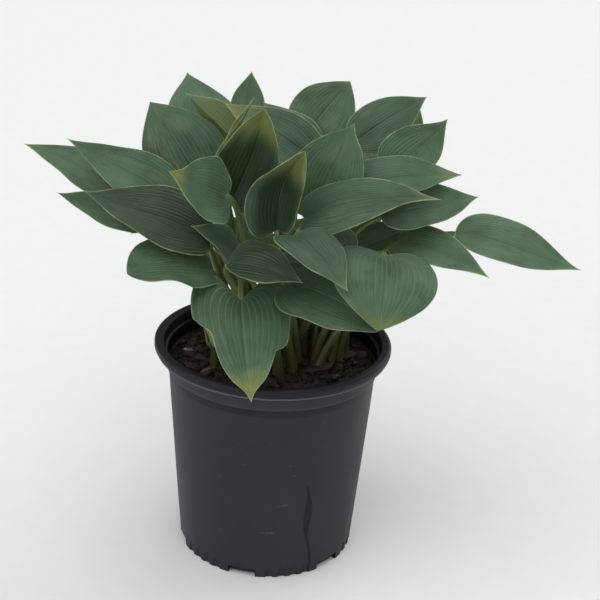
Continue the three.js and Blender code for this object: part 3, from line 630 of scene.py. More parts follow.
def pot_profile():
    """Half section of the shell, from the middle of its underside out, up and back inside.
    Returns points [r, z], the share of dust and painted light on each, and the count of those
    outside. Dust lies on the wall and the collar; the bead under the lip takes a painted
    highlight, and the band below the collar and the groove under the lip take painted shadow."""
    outside = [
        (0.3, [[0, 1.6], [70, 1.6]]), (0.3, arc((72.0, 1.6), 1.6, 180, 270, 4)[1:]),
        (0.3, [[84.5, 0]]), (0.4, arc((BASE_RADIUS - 1, 1.0), 1.0, 270, 358, 4)),
        (0.42, np.linspace([86.6, 3], [87.6, 17.2], 14)),
        (0.42, np.linspace([88.7, 31.8], [99.5, 180.4], 14)),
        # Painted shadow in the band below the collar (0.2, 0.25) and in the groove under the lip
        # (0.1); painted highlight on the bead (1.0)
        (0.2, np.linspace([99.6, 182], [100.0, 187.3], 4)),
        (0.25, arc((100.8, 188.0), 0.8, 180, 110, 3)),
        (0.75, arc((101.5, 190.1), 0.8, 290, 358, 4)),
        (0.62, np.linspace([102.4, 192.0], [103.2, 202.4], 6)), (0.4, [[103.4, 203.8]]),
        (0.1, arc((104.4, 204.4), 0.8, 180, 90, 3)), (0.2, [[110.5, 205.2]]),
        (1.0, arc((111.2, 206.0), 0.9, 270, 420, 7)), (0.05, [[111.9, 207.4]]),
        (0.1, arc((111.3, 210.2), 2.65, 290, 360, 6)), (0.16, arc((111.2, 213.1), 2.75, 0, 80, 7)),
    ]
    inside = [
        (0.1, [[110.2, 215.9], [109.0, 215.4], [107.6, 215.2]]),
        (0.06, arc((106.9, 213.0), 2.1, 80, 170, 5)), (0, [[104.3, 209.2], [103.6, 207.4]]),
        (0, arc((102.4, 206.2), 1.2, 0, -70, 4)), (0, [[101.4, 204.4]]),
        (0, np.linspace([101.2, 203.5], [100.6, 193.6], 6)),
        (0, arc((99.8, 193.2), 0.8, 0, -70, 4)),
        (0, np.linspace([98.4, 191.2], [BASE_RADIUS - WALL, FLOOR + 2], 8)),
        (0, arc((82.5, FLOOR + 2.0), 2.0, 0, -90, 4)[1:]), (0, [[0, FLOOR]]),
    ]
    points = [np.asarray(part, float) for _, part in outside + inside]
    dust = [np.full(len(part), amount, float) for amount, part in outside + inside]
    return np.concatenate(points), np.concatenate(dust), sum(len(part) for _, part in outside)


def slot_angles():
    """Middle of each drain slot, in degrees from +X."""
    return (np.arange(SLOTS) + SLOT_TURN) * 360 / SLOTS - 90


def angle_gap(angle, middle):
    """Smallest difference of two angles, in degrees."""
    return np.abs((angle - middle + 180) % 360 - 180)


def pot_shell(looks):
    """The profile turned about Z. Near the foot the outer wall dips in by the flutes: half round
    across, and closed above by an arch. The wall also bulges a little, as thin plastic does."""
    profile, dust, outside = pot_profile()
    degrees = np.arange(POT_SIDES) * 360 / POT_SIDES
    radius, height = profile[:, :1], profile[:, 1:]
    pitch = 360 / SLOTS
    flutes = np.array([middle + pitch / 2 + (i - (FLUTES_PER_GROUP - 1) / 2) * FLUTE_PITCH
                       for middle in slot_angles() for i in range(FLUTES_PER_GROUP)])
    gap = np.min(angle_gap(degrees[:, None], flutes[None]), axis=1)[None]
    reach = np.radians(gap) * BASE_RADIUS / looks.flute_width * 2
    top = FLUTE_HEIGHT - 4 * np.clip(reach, 0, 1) ** 2
    outer = (np.arange(len(profile)) < outside)[:, None] & (radius > BASE_RADIUS - 1.5)
    dip = looks.flute_depth * np.sqrt(np.clip(1 - reach**2, 0, 1))
    dip = dip * (1 - smooth(height, top - 2, top))
    turn = np.radians(degrees)[None]
    bulge = 0.35 * np.sin(2 * turn + 0.6) + 0.2 * np.sin(5 * turn + 2) * smooth(height, 20, 120)
    loose = smooth(height, 5, 60) * (1 - smooth(height, 170, 190))
    r = radius - np.where(outer, dip, 0) + bulge * loose * (radius > 50)
    points = turned(r, turn, height)[1:-1].reshape(-1, 3)
    points = np.concatenate([points, [[0, 0, profile[0, 1]], [0, 0, profile[-1, 1]]]])
    around = np.arctan2(points[:, 1], points[:, 0]) / (2 * np.pi)
    uv = np.stack([around, points[:, 2] * 0.01], axis=-1)
    dust = np.concatenate([np.repeat(dust[1:-1], POT_SIDES), [dust[0], dust[-1]]])
    return Surface(points, tube_faces(len(profile) - 2, POT_SIDES), uv, dust=dust)


def slot_block(middle):
    """A plain block that cuts one drain slot through the foot of the wall."""
    turn = math.radians(middle)
    out = np.array([math.cos(turn), math.sin(turn), 0])
    across = np.array([-math.sin(turn), math.cos(turn), 0])
    inner, outer = SLOT_REACH
    section = [(inner, -1), (outer, -1), (outer, SLOT_HEIGHT), (inner, SLOT_HEIGHT)]
    ends = [[out * r + np.array([0, 0, z]) + across * w * SLOT_WIDTH / 2 for r, z in section]
            for w in (-1, 1)]
    faces = [[0, 1, 2, 3], [7, 6, 5, 4], [0, 4, 5, 1], [1, 5, 6, 2], [2, 6, 7, 3], [3, 7, 4, 0]]
    return Surface(np.array(ends).reshape(-1, 3), faces)


def cut_away(piece, cutter):
    """Subtracts the cutter from the piece for good, and drops the cutter."""
    change = piece.modifiers.new("slots", "BOOLEAN")
    change.operation, change.solver, change.object = "DIFFERENCE", "EXACT", cutter
    view = bpy.context.evaluated_depsgraph_get()
    mesh = bpy.data.meshes.new_from_object(piece.evaluated_get(view))
    old, name = piece.data, piece.data.name
    piece.modifiers.clear()
    piece.data = mesh
    bpy.data.meshes.remove(old)
    mesh.name = name
    spare = cutter.data
    bpy.data.objects.remove(cutter)
    bpy.data.meshes.remove(spare)


# ---------------------------------------------------------------- growing mix

def mix_height(x, y):
    """Level of the mix at r over its radius: a mound, SOIL_LEVEL - 2 + MOUND (1 - r^2), and lumps
    that are products and sums of sines, faded by 1 - r^8."""
    r = np.hypot(x, y) / SOIL_RADIUS
    lumps = 1.6 * np.sin(x / 11 + 1) * np.cos(y / 9) + 1.1 * np.sin((x + y) / 6.5)
    return SOIL_LEVEL + MOUND * (1 - r * r) - 2 + lumps * (1 - r**8)


def mix_body():
    """The filling: a top of rings round the axis, roughened by three sizes of value noise, and a
    plain skirt down inside the pot to its floor."""
    share = np.linspace(0, 1, MIX_RINGS + 1)[1:] ** 0.8
    turn = np.linspace(0, 2 * np.pi, MIX_SIDES, endpoint=False)
    r = (SOIL_RADIUS - EDGE_GAP) * share[:, None]
    x, y = r * np.cos(turn), r * np.sin(turn)
    coarse = value_noise(200 + x / 7, 200 + y / 7, lattice(41)) - 0.5
    middle = np.abs(value_noise(300 + x / 3.1, 300 + y / 3.1, lattice(42)) - 0.5)
    fine = value_noise(500 + x / 1.3, 500 + y / 1.3, lattice(43)) - 0.5
    z = mix_height(x, y) + 2.4 * coarse - 2.6 * middle + 0.9 * fine
    skirt = [turned(SOIL_RADIUS - EDGE_GAP, turn, SKIRT_TOP),
             turned(BASE_RADIUS - WALL - 0.6, turn, FLOOR + LOWEST)]
    middles = [[0, 0, mix_height(0, 0)], [0, 0, FLOOR + LOWEST]]
    points = np.concatenate([np.stack([x, y, z], axis=-1).reshape(-1, 3), *skirt, middles])
    return Surface(points, tube_faces(MIX_RINGS + 2, MIX_SIDES, flip=True))


def chips(draw, extent, turns, places, tone):
    """Slabs of bark: closed lofts of four six-sided rings, each with knocked corners, half its
    extent, its turns about X, Y and Z, its middle and its tone."""
    ring = np.linspace(0, 2 * np.pi, 6, endpoint=False)
    levels = np.array([-1, -0.55, 0.55, 1])
    girth = np.array([0.55, 0.95, 1.0, 0.6])
    loft = turned(girth[:, None], ring, levels[:, None])
    shape = np.concatenate([loft.reshape(-1, 3), [[0, 0, -1.05], [0, 0, 1.05]]])[:, [2, 0, 1]]
    count = len(extent)
    knocked = shape[None] * (1 + 0.34 * (draw.random((count, len(shape), 3)) - 0.5))
    cos, sin = np.cos(turns), np.sin(turns)
    body = knocked * extent[:, None]
    for axis, (a, b) in enumerate(((1, 2), (2, 0), (0, 1))):
        first = body[..., a] * cos[:, axis, None] - body[..., b] * sin[:, axis, None]
        second = body[..., a] * sin[:, axis, None] + body[..., b] * cos[:, axis, None]
        body[..., a], body[..., b] = first, second
    body = body + places[:, None]
    faces = tube_faces(len(levels), len(ring))
    every = faces[None] + (np.arange(count) * len(shape))[:, None, None]
    return Surface(body.reshape(-1, 3), every.reshape(-1, 4), tone=np.repeat(tone, len(shape)))


def bark_chips(count, seed, sizes, radius=94, rise=0.6):
    """Loose chips of many sizes, strewn over the mix and partly sunk in it."""
    draw = np.random.default_rng(seed)
    length = sizes[0] + (sizes[1] - sizes[0]) * draw.random(count) ** 2.2
    extent = np.stack([length / 2, length * (0.2 + 0.24 * draw.random(count)),
                       length * (0.07 + 0.1 * draw.random(count)) + 0.4], axis=-1)
    turns = draw.normal(0, 1, (count, 3)) * [0.42, 0.42, 0]
    turns = turns + [0, 0, 1] * draw.random((count, 1)) * 7
    far, turn = radius * np.sqrt(draw.random(count)), 2 * np.pi * draw.random(count)
    x, y = far * np.cos(turn), far * np.sin(turn)
    places = np.stack([x, y, mix_height(x, y) + rise * draw.random(count)], axis=-1)
    return chips(draw, extent, turns, places, 0.8 * draw.random(count))


def chosen_chips():
    """The few large, pale or long chips and the dry twigs that stand out, each in its own place."""
    x, y, length, width, height, heading, tilt, tone = np.array(CHOSEN_CHIPS, float).T
    extent = np.stack([length, width, height], axis=-1) / 2
    turns = np.radians(np.stack([np.zeros(len(x)), tilt, heading], axis=-1))
    places = np.stack([x, y, mix_height(x, y) + 1.2 + height / 4], axis=-1)
    return chips(np.random.default_rng(9), extent, turns, places, tone)


# ---------------------------------------------------------------- materials

def colour(code):
    """A linear colour with alpha from a web code, by the usual sRGB curve."""
    parts = [int(code[k:k + 2], 16) / 255 for k in (1, 3, 5)]
    return [p / 12.92 if p <= 0.04045 else ((p + 0.055) / 1.055) ** 2.4 for p in parts] + [1.0]


class Finish:
    """Builds one material's nodes. Most methods add a node and return its output; the colour is a
    stack of coats over a first one."""

    def __init__(self, name, body, **constants):
        self.material = bpy.data.materials.new(name)
        self.material.use_nodes = True
        self.tree = self.material.node_tree
        self.shader = self.tree.nodes["Principled BSDF"]
        self.out = self.tree.nodes["Material Output"]
        for socket, value in constants.items():
            self.shader.inputs[socket.replace("_", " ")].default_value = value
        self.place = self.node("ShaderNodeTexCoord").outputs["Object"]
        self.body = body

    def node(self, kind, inputs=(), **settings):
        made = self.tree.nodes.new(kind)
        for key, value in settings.items():
            setattr(made, key, value)
        for key, value in dict(inputs).items():
            self.feed(made.inputs[key], value)
        return made

    def feed(self, socket, value):
        if isinstance(value, bpy.types.NodeSocket):
            self.tree.links.new(value, socket)
        else:
            socket.default_value = value

    def math(self, operation, a, b=0.0):
        return self.node("ShaderNodeMath", {0: a, 1: b}, operation=operation).outputs[0]

    def times(self, a, b):
        return self.math("MULTIPLY", a, b)

    def plus(self, a, b):
        return self.math("ADD", a, b)

    def minus(self, a, b):
        return self.math("SUBTRACT", a, b)

    def size(self, a):
        return self.math("ABSOLUTE", a)

    def uv(self):
        return self.node("ShaderNodeUVMap", uv_map="UVMap").outputs[0]

    def field(self, name):
        return self.node("ShaderNodeAttribute", attribute_name=name).outputs["Fac"]

    def noise(self, scale, detail=2.0, roughness=0.5, distortion=0.0, at=None):
        """Noise over the mesh's own place unless told otherwise."""
        inputs = {"Vector": self.place if at is None else at, "Scale": scale, "Detail": detail,
                  "Roughness": roughness, "Distortion": distortion}
        return self.node("ShaderNodeTexNoise", inputs).outputs["Fac"]

    def streaks(self, at, scale, detail=3.0, roughness=0.6, distortion=0.0):
        """Noise with a scale for each axis, drawn out along the axes with a small one."""
        stretched = self.node("ShaderNodeMapping", {"Vector": at, "Scale": scale}).outputs[0]
        return self.noise(1.0, detail, roughness, distortion, stretched)

    def step(self, value, low, high, start=0.0, end=1.0):
        inputs = {"Value": value, "From Min": low, "From Max": high, "To Min": start, "To Max": end}
        made = self.node("ShaderNodeMapRange", inputs, interpolation_type="SMOOTHSTEP")
        return made.outputs["Result"]

    def coat(self, cover, paint):
        """Lays a colour over the ones so far, as far as it covers them."""
        inputs = {0: cover, 6: self.body, 7: paint}
        self.body = self.node("ShaderNodeMix", inputs, data_type="RGBA").outputs[2]

    def roughen(self, value):
        self.feed(self.shader.inputs["Roughness"], value)

    def bump(self, height, distance, strength):
        inputs = {"Height": height, "Distance": distance, "Strength": strength}
        self.feed(self.shader.inputs["Normal"], self.node("ShaderNodeBump", inputs).outputs[0])

    def let_through(self, amount, tint):
        """Light that falls on the far side glows through."""
        glow = self.node("ShaderNodeBsdfTranslucent", {"Color": tint}).outputs[0]
        inputs = {0: amount, 1: self.shader.outputs[0], 2: glow}
        both_sides = self.node("ShaderNodeMixShader", inputs)
        self.tree.links.new(both_sides.outputs[0], self.out.inputs["Surface"])

    def done(self):
        """The material, coloured by its coats."""
        self.feed(self.shader.inputs["Base Color"], self.body)
        return self.material


def vein_lines(finish, width, soft):
    """1 on a vein and 0 between them. Side veins are whole numbers of w, which lie one pitch
    apart; the distances from the nearest one and from the midrib are in millimetres."""
    w = finish.field("w")
    off = finish.size(finish.minus(w, finish.math("ROUND", w)))
    distance = finish.times(off, finish.field("pitch"))
    line = finish.step(distance, width, width + soft, 1.0, 0.0)
    thick = finish.step(finish.field("rib"), 2 * width, 2 * width + 2 * soft, 1.0, 0.0)
    return finish.math("MAXIMUM", line, thick)


def leaf_upper(looks):
    """Blue-green upper side: mottled, with streaks and specks of wax, pale veins, an uneven pale
    margin, yellow ageing that on the cupped middle leaves also paints light glowing through the
    tip, and painted shade in the cups and towards the base."""
    finish = Finish("leaf_upper", looks.deep, Sheen_Weight=looks.wax, Sheen_Roughness=0.45,
                    Sheen_Tint=colour("#C9DCD6"))
    veins, uv = vein_lines(finish, 0.12, 0.6), finish.uv()
    streak = finish.streaks(uv, (70.0, 5.0, 1.0))
    mottle = finish.noise(60.0, 4.0, 0.62, 0.5)
    specks = finish.noise(380.0, 2.0, 0.6)
    broad = finish.times(finish.noise(14.0, 3.0, 0.55), 0.5)
    shade = finish.plus(broad, finish.times(finish.field("tone"), 0.6))
    finish.coat(finish.step(shade, 0.28, 0.8), looks.fresh)
    finish.coat(finish.step(mottle, 0.46, 0.7, 0.0, 0.42), looks.deep)
    finish.coat(finish.step(streak, 0.42, 0.72, 0.0, 0.45), looks.bloom)
    finish.coat(finish.step(specks, 0.6, 0.76, 0.0, 0.4), looks.bloom)
    # Yellow ageing, which on the cupped middle leaves also paints light glowing through the tip
    finish.coat(finish.times(finish.field("yellow"), 0.9), looks.old)
    # Painted shade in the cups and towards the base of every blade
    finish.coat(finish.field("deep"), looks.painted_hollow_shade)
    finish.coat(finish.times(finish.field("worn"), finish.step(streak, 0.35, 0.65)), looks.worn)
    lines = finish.times(finish.times(veins, looks.vein_share), finish.field("lines"))
    finish.coat(lines, looks.vein)
    margin = finish.step(finish.field("edge"), 0.3, 1.2, looks.margin_share, 0.0)
    finish.coat(finish.times(margin, finish.step(mottle, 0.35, 0.62, 1.3, 0.45)), looks.margin)
    finish.roughen(finish.step(finish.noise(60.0), 0.2, 0.8, 0.42, 0.62))
    grain = finish.minus(finish.streaks(uv, (220.0, 14.0, 1.0)), finish.times(veins, 0.8))
    finish.bump(grain, 0.00035, 0.6)
    finish.let_through(looks.glow, looks.glow_upper)
    return finish.done()


def leaf_under(looks):
    """Paler yellow-green underside with raised veins."""
    finish = Finish("leaf_under", looks.under_deep, Roughness=0.55)
    veins = vein_lines(finish, 0.3, 0.8)
    finish.coat(finish.step(finish.noise(18.0, 3.0), 0.3, 0.75), looks.under)
    # Yellow ageing, which on the cupped middle leaves also paints light glowing through the tip
    finish.coat(finish.times(finish.field("yellow"), 0.6), looks.old)
    finish.coat(finish.times(veins, 0.45), looks.vein)
    finish.coat(finish.step(finish.field("edge"), 0.3, 1.2, looks.margin_share, 0.0), looks.margin)
    finish.bump(finish.plus(finish.streaks(finish.uv(), (200.0, 14.0, 1.0)), veins), 0.0003, 0.6)
    finish.let_through(looks.glow, looks.glow_under)
    return finish.done()


def stalk_green(looks):
    """Ribbed stalk: olive green, turned brown-olive towards the foot by painted shade, with fine
    lengthwise streaks.
    """
    finish = Finish("stalk", looks.painted_stalk_foot_shade, Roughness=0.42)
    streak = finish.streaks(finish.uv(), (46.0, 3.0, 1.0))
    # Painted shade: the foot stays brown-olive, giving way to olive green higher up
    finish.coat(finish.step(finish.field("height"), 0.02, 0.5), looks.stalk)
    finish.coat(finish.step(streak, 0.4, 0.7, 0.0, 0.5), looks.stalk_dark)
    finish.bump(streak, 0.0004, 0.7)
    return finish.done()


def drip_line(finish, looks):
    """1 on the wet line down the pot's front and 0 beside it. The line leans and wavers, and
    swells around the height of 70 mm. Lengths are Blender's units, as the material reads them."""
    x, y, z = finish.node("ShaderNodeSeparateXYZ", {0: finish.place}).outputs[:3]
    waver = finish.times(finish.math("SINE", finish.times(z, 95.0)), 0.0016)
    lean = finish.step(z, 0.0, 0.1, looks.drip_place + 0.004, looks.drip_place)
    off = finish.size(finish.minus(x, finish.plus(lean, waver)))
    swell = finish.step(finish.size(finish.minus(z, 0.07)), 0.0, 0.03, 0.0036, 0.0013)
    drip = finish.step(finish.minus(off, swell), -0.0004, 0.0004, 1.0, 0.0)
    drip = finish.times(drip, finish.step(z, looks.drip_top - 0.006, looks.drip_top, 1.0, 0.0))
    return finish.times(drip, finish.math("LESS_THAN", y, 0.0))


def pot_plastic(looks):
    """Semi-matte moulded black plastic with fine grain, dust, short scuffs and a wet drip line.
    Dust gathers on the outside, most on the collar. The same field paints a highlight on the bead
    under the lip, and shadow below the collar and in the groove under the lip."""
    finish = Finish("pot_plastic", looks.plastic, Specular_IOR_Level=0.22)
    cloud, dust_and_painted_light_share = finish.noise(9.0, 4.0, 0.6), finish.field("dust")
    # Dust, with painted shadow where the field is low below the collar and under the lip, and a
    # painted highlight on the bead
    finish.coat(finish.times(dust_and_painted_light_share, finish.step(cloud, 0.25, 0.8, 0.75, 1.25)), looks.plastic_dusty_and_lit)
    # Painted highlight along the bead under the lip
    finish.coat(finish.step(dust_and_painted_light_share, 0.78, 1.0, 0.0, 0.4), looks.dust)
    scratch = finish.streaks(finish.place, (40.0, 40.0, 160.0), 3.0, 0.65, 0.6)
    sparse = finish.step(finish.noise(30.0), 0.5, 0.62)
    scuff = finish.times(finish.step(scratch, 0.66, 0.74), sparse)
    settled = finish.step(finish.noise(220.0), 0.68, 0.8)
    marks = finish.plus(finish.times(scuff, 0.22), finish.times(settled, 0.12))
    finish.coat(finish.times(marks, finish.step(dust_and_painted_light_share, 0.1, 0.3)), looks.dust)
    drip = drip_line(finish, looks)
    finish.coat(finish.times(drip, 0.85), looks.wet)
    rough = finish.step(cloud, 0.3, 0.7, looks.roughness - 0.05, looks.roughness + 0.08)
    finish.roughen(finish.minus(rough, finish.times(drip, 0.12)))
    finish.bump(finish.plus(finish.noise(900.0), finish.times(scuff, 0.6)), 0.00012, 0.5)
    return finish.done()


def bark_fines(looks):
    """Damp dark mix: near black crumbs and red-brown fibres."""
    finish = Finish("bark_mix", looks.mix_dark, Roughness=0.85)
    crumbs, patches = finish.noise(260.0, 4.0, 0.65), finish.noise(60.0, 3.0, 0.6, 0.8)
    finish.coat(finish.step(crumbs, 0.35, 0.7), looks.mix_brown)
    finish.coat(finish.step(patches, 0.5, 0.75, 0.0, 0.6), looks.bark_red)
    finish.bump(finish.plus(crumbs, patches), 0.0012, 0.8)
    return finish.done()


def bark(looks):
    """Bark chips: each has its own tone, dark to red-brown and a few pale, with a fibrous grain."""
    finish = Finish("bark_chip", looks.bark_dark, Roughness=0.75)
    tone, grain = finish.field("tone"), finish.streaks(finish.place, (500.0, 120.0, 300.0), 4.0)
    finish.coat(finish.step(tone, 0.1, 0.7), looks.bark_red)
    finish.coat(finish.step(tone, 0.86, 0.99), looks.bark_pale)
    finish.coat(finish.step(grain, 0.35, 0.7, 0.55, 0.0), looks.mix_dark)
    finish.bump(grain, 0.0007, 0.9)
    return finish.done()


def floor_paper(looks):
    """Pale seamless paper, a little darker where its fibres are thin."""
    finish = Finish("floor", colour("#000000"), Roughness=0.9)
    finish.coat(finish.step(finish.noise(40.0, 3.0), 0.3, 0.7, 0.985, 1.0), looks.floor)
    return finish.done()


# ---------------------------------------------------------------- settings

def swatch(name, code, description):
    """A colour that the user may change."""
    return FloatVectorProperty(name=name, description=description, subtype="COLOR", size=4,
                               min=0, max=1, default=colour(code))


def number(name, default, least, most, description, subtype="NONE"):
    """A number that the user may change, between two limits."""
    return FloatProperty(name=name, description=description, subtype=subtype, default=default,
                         min=least, max=most)


def share_setting(name, default, description):
    """A share, from 0 to 1."""
    return number(name, default, 0, 1, description, "FACTOR")


class HostaLeafLooks(bpy.types.PropertyGroup):
    """Sizes and colours of the leaves."""

    thickness: number("Thickness", 0.7, 0.3, 1.5, "Thickness of a blade, in millimetres")
    quilt: number("Quilting", 1.0, 0, 3, "Swelling between the veins, over its usual")
    channel: number("Channel", 0.42, 0, 0.8, "Depth of a stalk's channel over its radius", "FACTOR")
    wax: share_setting("Wax", 0.14, "Strength of the waxy bloom's sheen")
    glow: share_setting("Glow", 0.22, "Share of light that passes through a sheet")
    vein_share: share_setting("Vein Strength", 0.22, "How far the veins stand out")
    margin_share: share_setting("Margin Strength", 0.6, "How far the margin stands out")
    deep: swatch("Deep Green", "#162F1D", "Upper side where it is darkest")
    fresh: swatch("Blue Green", "#4E7254", "Upper side where it is palest")
    # Colour of the painted shade in the cups and towards the base of every blade
    painted_hollow_shade: swatch("Hollow", "#0A2710", "Upper side deep in the cupped leaves")
    bloom: swatch("Bloom", "#5F7D69", "Streaks of wax on the upper side")
    vein: swatch("Veins", "#7F9874", "Veins")
    margin: swatch("Margin", "#B0B98C", "Thin line along the margin")
    # Also the painted glow of light through the tips of the cupped middle leaves
    old: swatch("Ageing", "#8C934C", "Yellowing tips")
    worn: swatch("Weathering", "#76805F", "Weathered patches")
    under: swatch("Underside", "#6F8155", "Underside")
    under_deep: swatch("Underside Deep", "#4C6138", "Underside where it is darkest")
    glow_upper: swatch("Glow Above", "#A9BE62", "Light that comes through the upper sheet")
    glow_under: swatch("Glow Below", "#AEC05A", "Light that comes through the lower sheet")
    stalk: swatch("Stalk", "#64733F", "Stalk")
    stalk_dark: swatch("Stalk Streaks", "#445530", "Streaks along the stalk")
    # Painted shade on the low part of the stalk
    painted_stalk_foot_shade: swatch("Stalk Foot", "#4B4328", "Foot of the stalk")


class HostaPotLooks(bpy.types.PropertyGroup):
    """Sizes and colours of the pot."""

    flute_width: number("Flute Width", 7.0, 2, 10, "Width of a flute, in millimetres")
    flute_depth: number("Flute Depth", 1.6, 0, 3, "Depth of a flute, in millimetres")
    roughness: number("Roughness", 0.48, 0.1, 1, "Roughness of the plastic", "FACTOR")
    drip_place: number("Drip", 0.0402, -0.1, 0.1, "Where the wet line runs, sideways", "DISTANCE")
    drip_top: number("Drip Top", 0.106, 0, 0.2, "Where the wet line starts", "DISTANCE")
    plastic: swatch("Plastic", "#121218", "Plastic")
    # Laid by the dust field, so it also paints the bead's highlight and the shadow below the collar
    # and under the lip
    plastic_dusty_and_lit: swatch("Dusty Plastic", "#3E3E47", "Plastic under a film of dust")
    # Also the painted highlight along the bead under the lip
    dust: swatch("Dust", "#77777A", "Scuffs and specks")
    wet: swatch("Wet", "#0C0C0E", "Wet line")


class HostaMixLooks(bpy.types.PropertyGroup):
    """Counts and colours of the bark mix."""

    coarse_chips: IntProperty(name="Coarse Chips", description="Count of large bark chips",
                              default=260, min=0, max=2000)
    fine_chips: IntProperty(name="Fine Chips", description="Count of small bark chips",
                            default=1500, min=0, max=4000)
    mix_dark: swatch("Dark", "#0B0908", "Crumbs where they are darkest")
    mix_brown: swatch("Brown", "#241B17", "Crumbs where they are palest")
    bark_dark: swatch("Dark Bark", "#17110F", "Dark chips")
    bark_red: swatch("Red Bark", "#3C2620", "Red-brown chips")
    bark_pale: swatch("Pale Bark", "#A69286", "The few pale chips")


class HostaStage(bpy.types.PropertyGroup):
    """Camera and light."""

    lens: number("Lens", 78.0, 20, 200, "Focal length of the camera", "DISTANCE_CAMERA")
    distance: number("Distance", 1.2372, 0.3, 5, "From the camera to its target", "DISTANCE")
    pitch: number("Pitch", math.radians(22.93), -1.5, 1.5, "How far the camera looks down", "ANGLE")
    roll: number("Roll", math.radians(2.89), -1.5, 1.5, "Turn about the line of sight", "ANGLE")
    target: FloatVectorProperty(name="Target", description="Where the camera looks", subtype="XYZ",
                                default=(0.0238, 0.0, 0.2564))
    key: number("Key", 2.1, 0, 20, "Strength of the soft light from above")
    fill: number("Fill", 0.33, 0, 5, "Strength of the light from all round")
    floor: swatch("Floor", "#EBEBEB", "Paper floor")


# ---------------------------------------------------------------- operators

def found(name, make, looks):
    """The material of that name, made at its first use."""
    return bpy.data.materials.get(name) or make(looks)


class HostaBuildPot(bpy.types.Operator):
    """Turn the pot's shell and cut its drain slots"""

    bl_idname = "hosta.build_pot"
    bl_label = "Build Pot"

    def execute(self, context):
        looks = context.scene.hosta_pot
        piece = add_piece("pot_shell", pot_shell(looks), [found("pot_plastic", pot_plastic, looks)])
        cutter = add_piece("slot_blocks", joined([slot_block(a) for a in slot_angles()]), [])
        cut_away(piece, cutter)
        piece.data.set_sharp_from_angle(angle=math.radians(SHARP_EDGE))
        put_in_place(piece, "pot")
        return {"FINISHED"}


class HostaBuildMix(bpy.types.Operator):
    """Fill the pot with bark mix and strew chips over it"""

    bl_idname = "hosta.build_mix"
    bl_label = "Build Bark Mix"

    def execute(self, context):
        looks = context.scene.hosta_mix
        body = add_piece("bark_mix", mix_body(), [found("bark_mix", bark_fines, looks)])
        put_in_place(body, "soil")
        chip = found("bark_chip", bark, looks)
        for name, surface in (
            ("bark_chips_coarse", bark_chips(looks.coarse_chips, 5, (8, 19), radius=88)),
            ("bark_chips_fine", bark_chips(looks.fine_chips, 6, (2.5, 8))),
            ("bark_chips_chosen", chosen_chips()),
        ):
            put_in_place(add_piece(name, surface, [chip]), None)
        return {"FINISHED"}


class LeafGroup:
    """Grows the leaves whose names start in one way."""

    prefix = ""
    slot = "leaf"

    def execute(self, context):
        looks = context.scene.hosta_leaf
        materials = [found("leaf_upper", leaf_upper, looks), found("leaf_under", leaf_under, looks),
                     found("stalk", stalk_green, looks)]
        names = [name for name in LEAVES if name.startswith(self.prefix)]
        if not names:
            raise RuntimeError(f"no leaf is named {self.prefix}")
        for name in names:
            leaf, seed = full_row(name), list(LEAVES).index(name)
            surface = joined([blade(leaf, looks, seed), stalk(leaf, looks, seed)])
            put_in_place(add_piece(name + "_fine", surface, materials), name)
        return {"FINISHED"}


class HostaFrontLeaves(LeafGroup, bpy.types.Operator):
    """Grow the low leaves that hang over the rim"""

    bl_idname = "hosta.front_leaves"
    bl_label = "Front Leaves"
    prefix = "front_leaf"


class HostaLeftLeaves(LeafGroup, bpy.types.Operator):
    """Grow the leaves that reach out to the left"""

    bl_idname = "hosta.left_leaves"
    bl_label = "Left Leaves"
    prefix = "left_leaf"


class HostaUpperLeaves(LeafGroup, bpy.types.Operator):
    """Grow the leaves at the top of the clump"""

    bl_idname = "hosta.upper_leaves"
    bl_label = "Upper Leaves"
    prefix = "upper_leaf"


class HostaMiddleLeaves(LeafGroup, bpy.types.Operator):
    """Grow the cupped leaves in the middle"""

    bl_idname = "hosta.middle_leaves"
    bl_label = "Middle Leaves"
    prefix = "middle_leaf"


class HostaInnerLeaves(LeafGroup, bpy.types.Operator):
    """Grow the small leaves inside the clump"""

    bl_idname = "hosta.inner_leaves"
    bl_label = "Inner Leaves"
    prefix = "inner_leaf"


class HostaRightLeaves(LeafGroup, bpy.types.Operator):
    """Grow the leaves that reach out to the right"""

    bl_idname = "hosta.right_leaves"
    bl_label = "Right Leaves"
    prefix = "right_leaf"


class HostaBackLeaves(LeafGroup, bpy.types.Operator):
    """Grow the leaves of the far side"""

    bl_idname = "hosta.back_leaves"
    bl_label = "Back Leaves"
    prefix = "back_leaf"


class HostaFurledLeaf(LeafGroup, bpy.types.Operator):
    """Grow the leaf that is still rolled up"""

    bl_idname = "hosta.furled_leaf"
    bl_label = "Furled Leaf"
    prefix = "furled_leaf"
    slot = "young_leaf"


class HostaYoungLeaf(LeafGroup, bpy.types.Operator):
    """Grow the small pale leaf by the rim"""

    bl_idname = "hosta.young_leaf"
    bl_label = "Young Leaf"
    prefix = "young_leaf"
    slot = "young_leaf"


def set_lights(scene, stage):
    """An even pale light from all round, and suns so wide that they light like a clouded sky."""
    world = bpy.data.worlds.new("studio")
    world.use_nodes = True
    around = world.node_tree.nodes["Background"]
    around.inputs["Color"].default_value = (0.98, 0.985, 1.0, 1.0)
    around.inputs["Strength"].default_value = stage.fill
    scene.world = world
    for name, (strength, pitch, heading, spread) in SUNS.items():
        lamp = bpy.data.lights.new(name, "SUN")
        lamp.energy, lamp.angle = stage.key * strength, math.radians(spread)
        light = bpy.data.objects.new(name, lamp)
        light.rotation_euler = (math.radians(pitch), 0, math.radians(heading))
        scene.collection.objects.link(light)


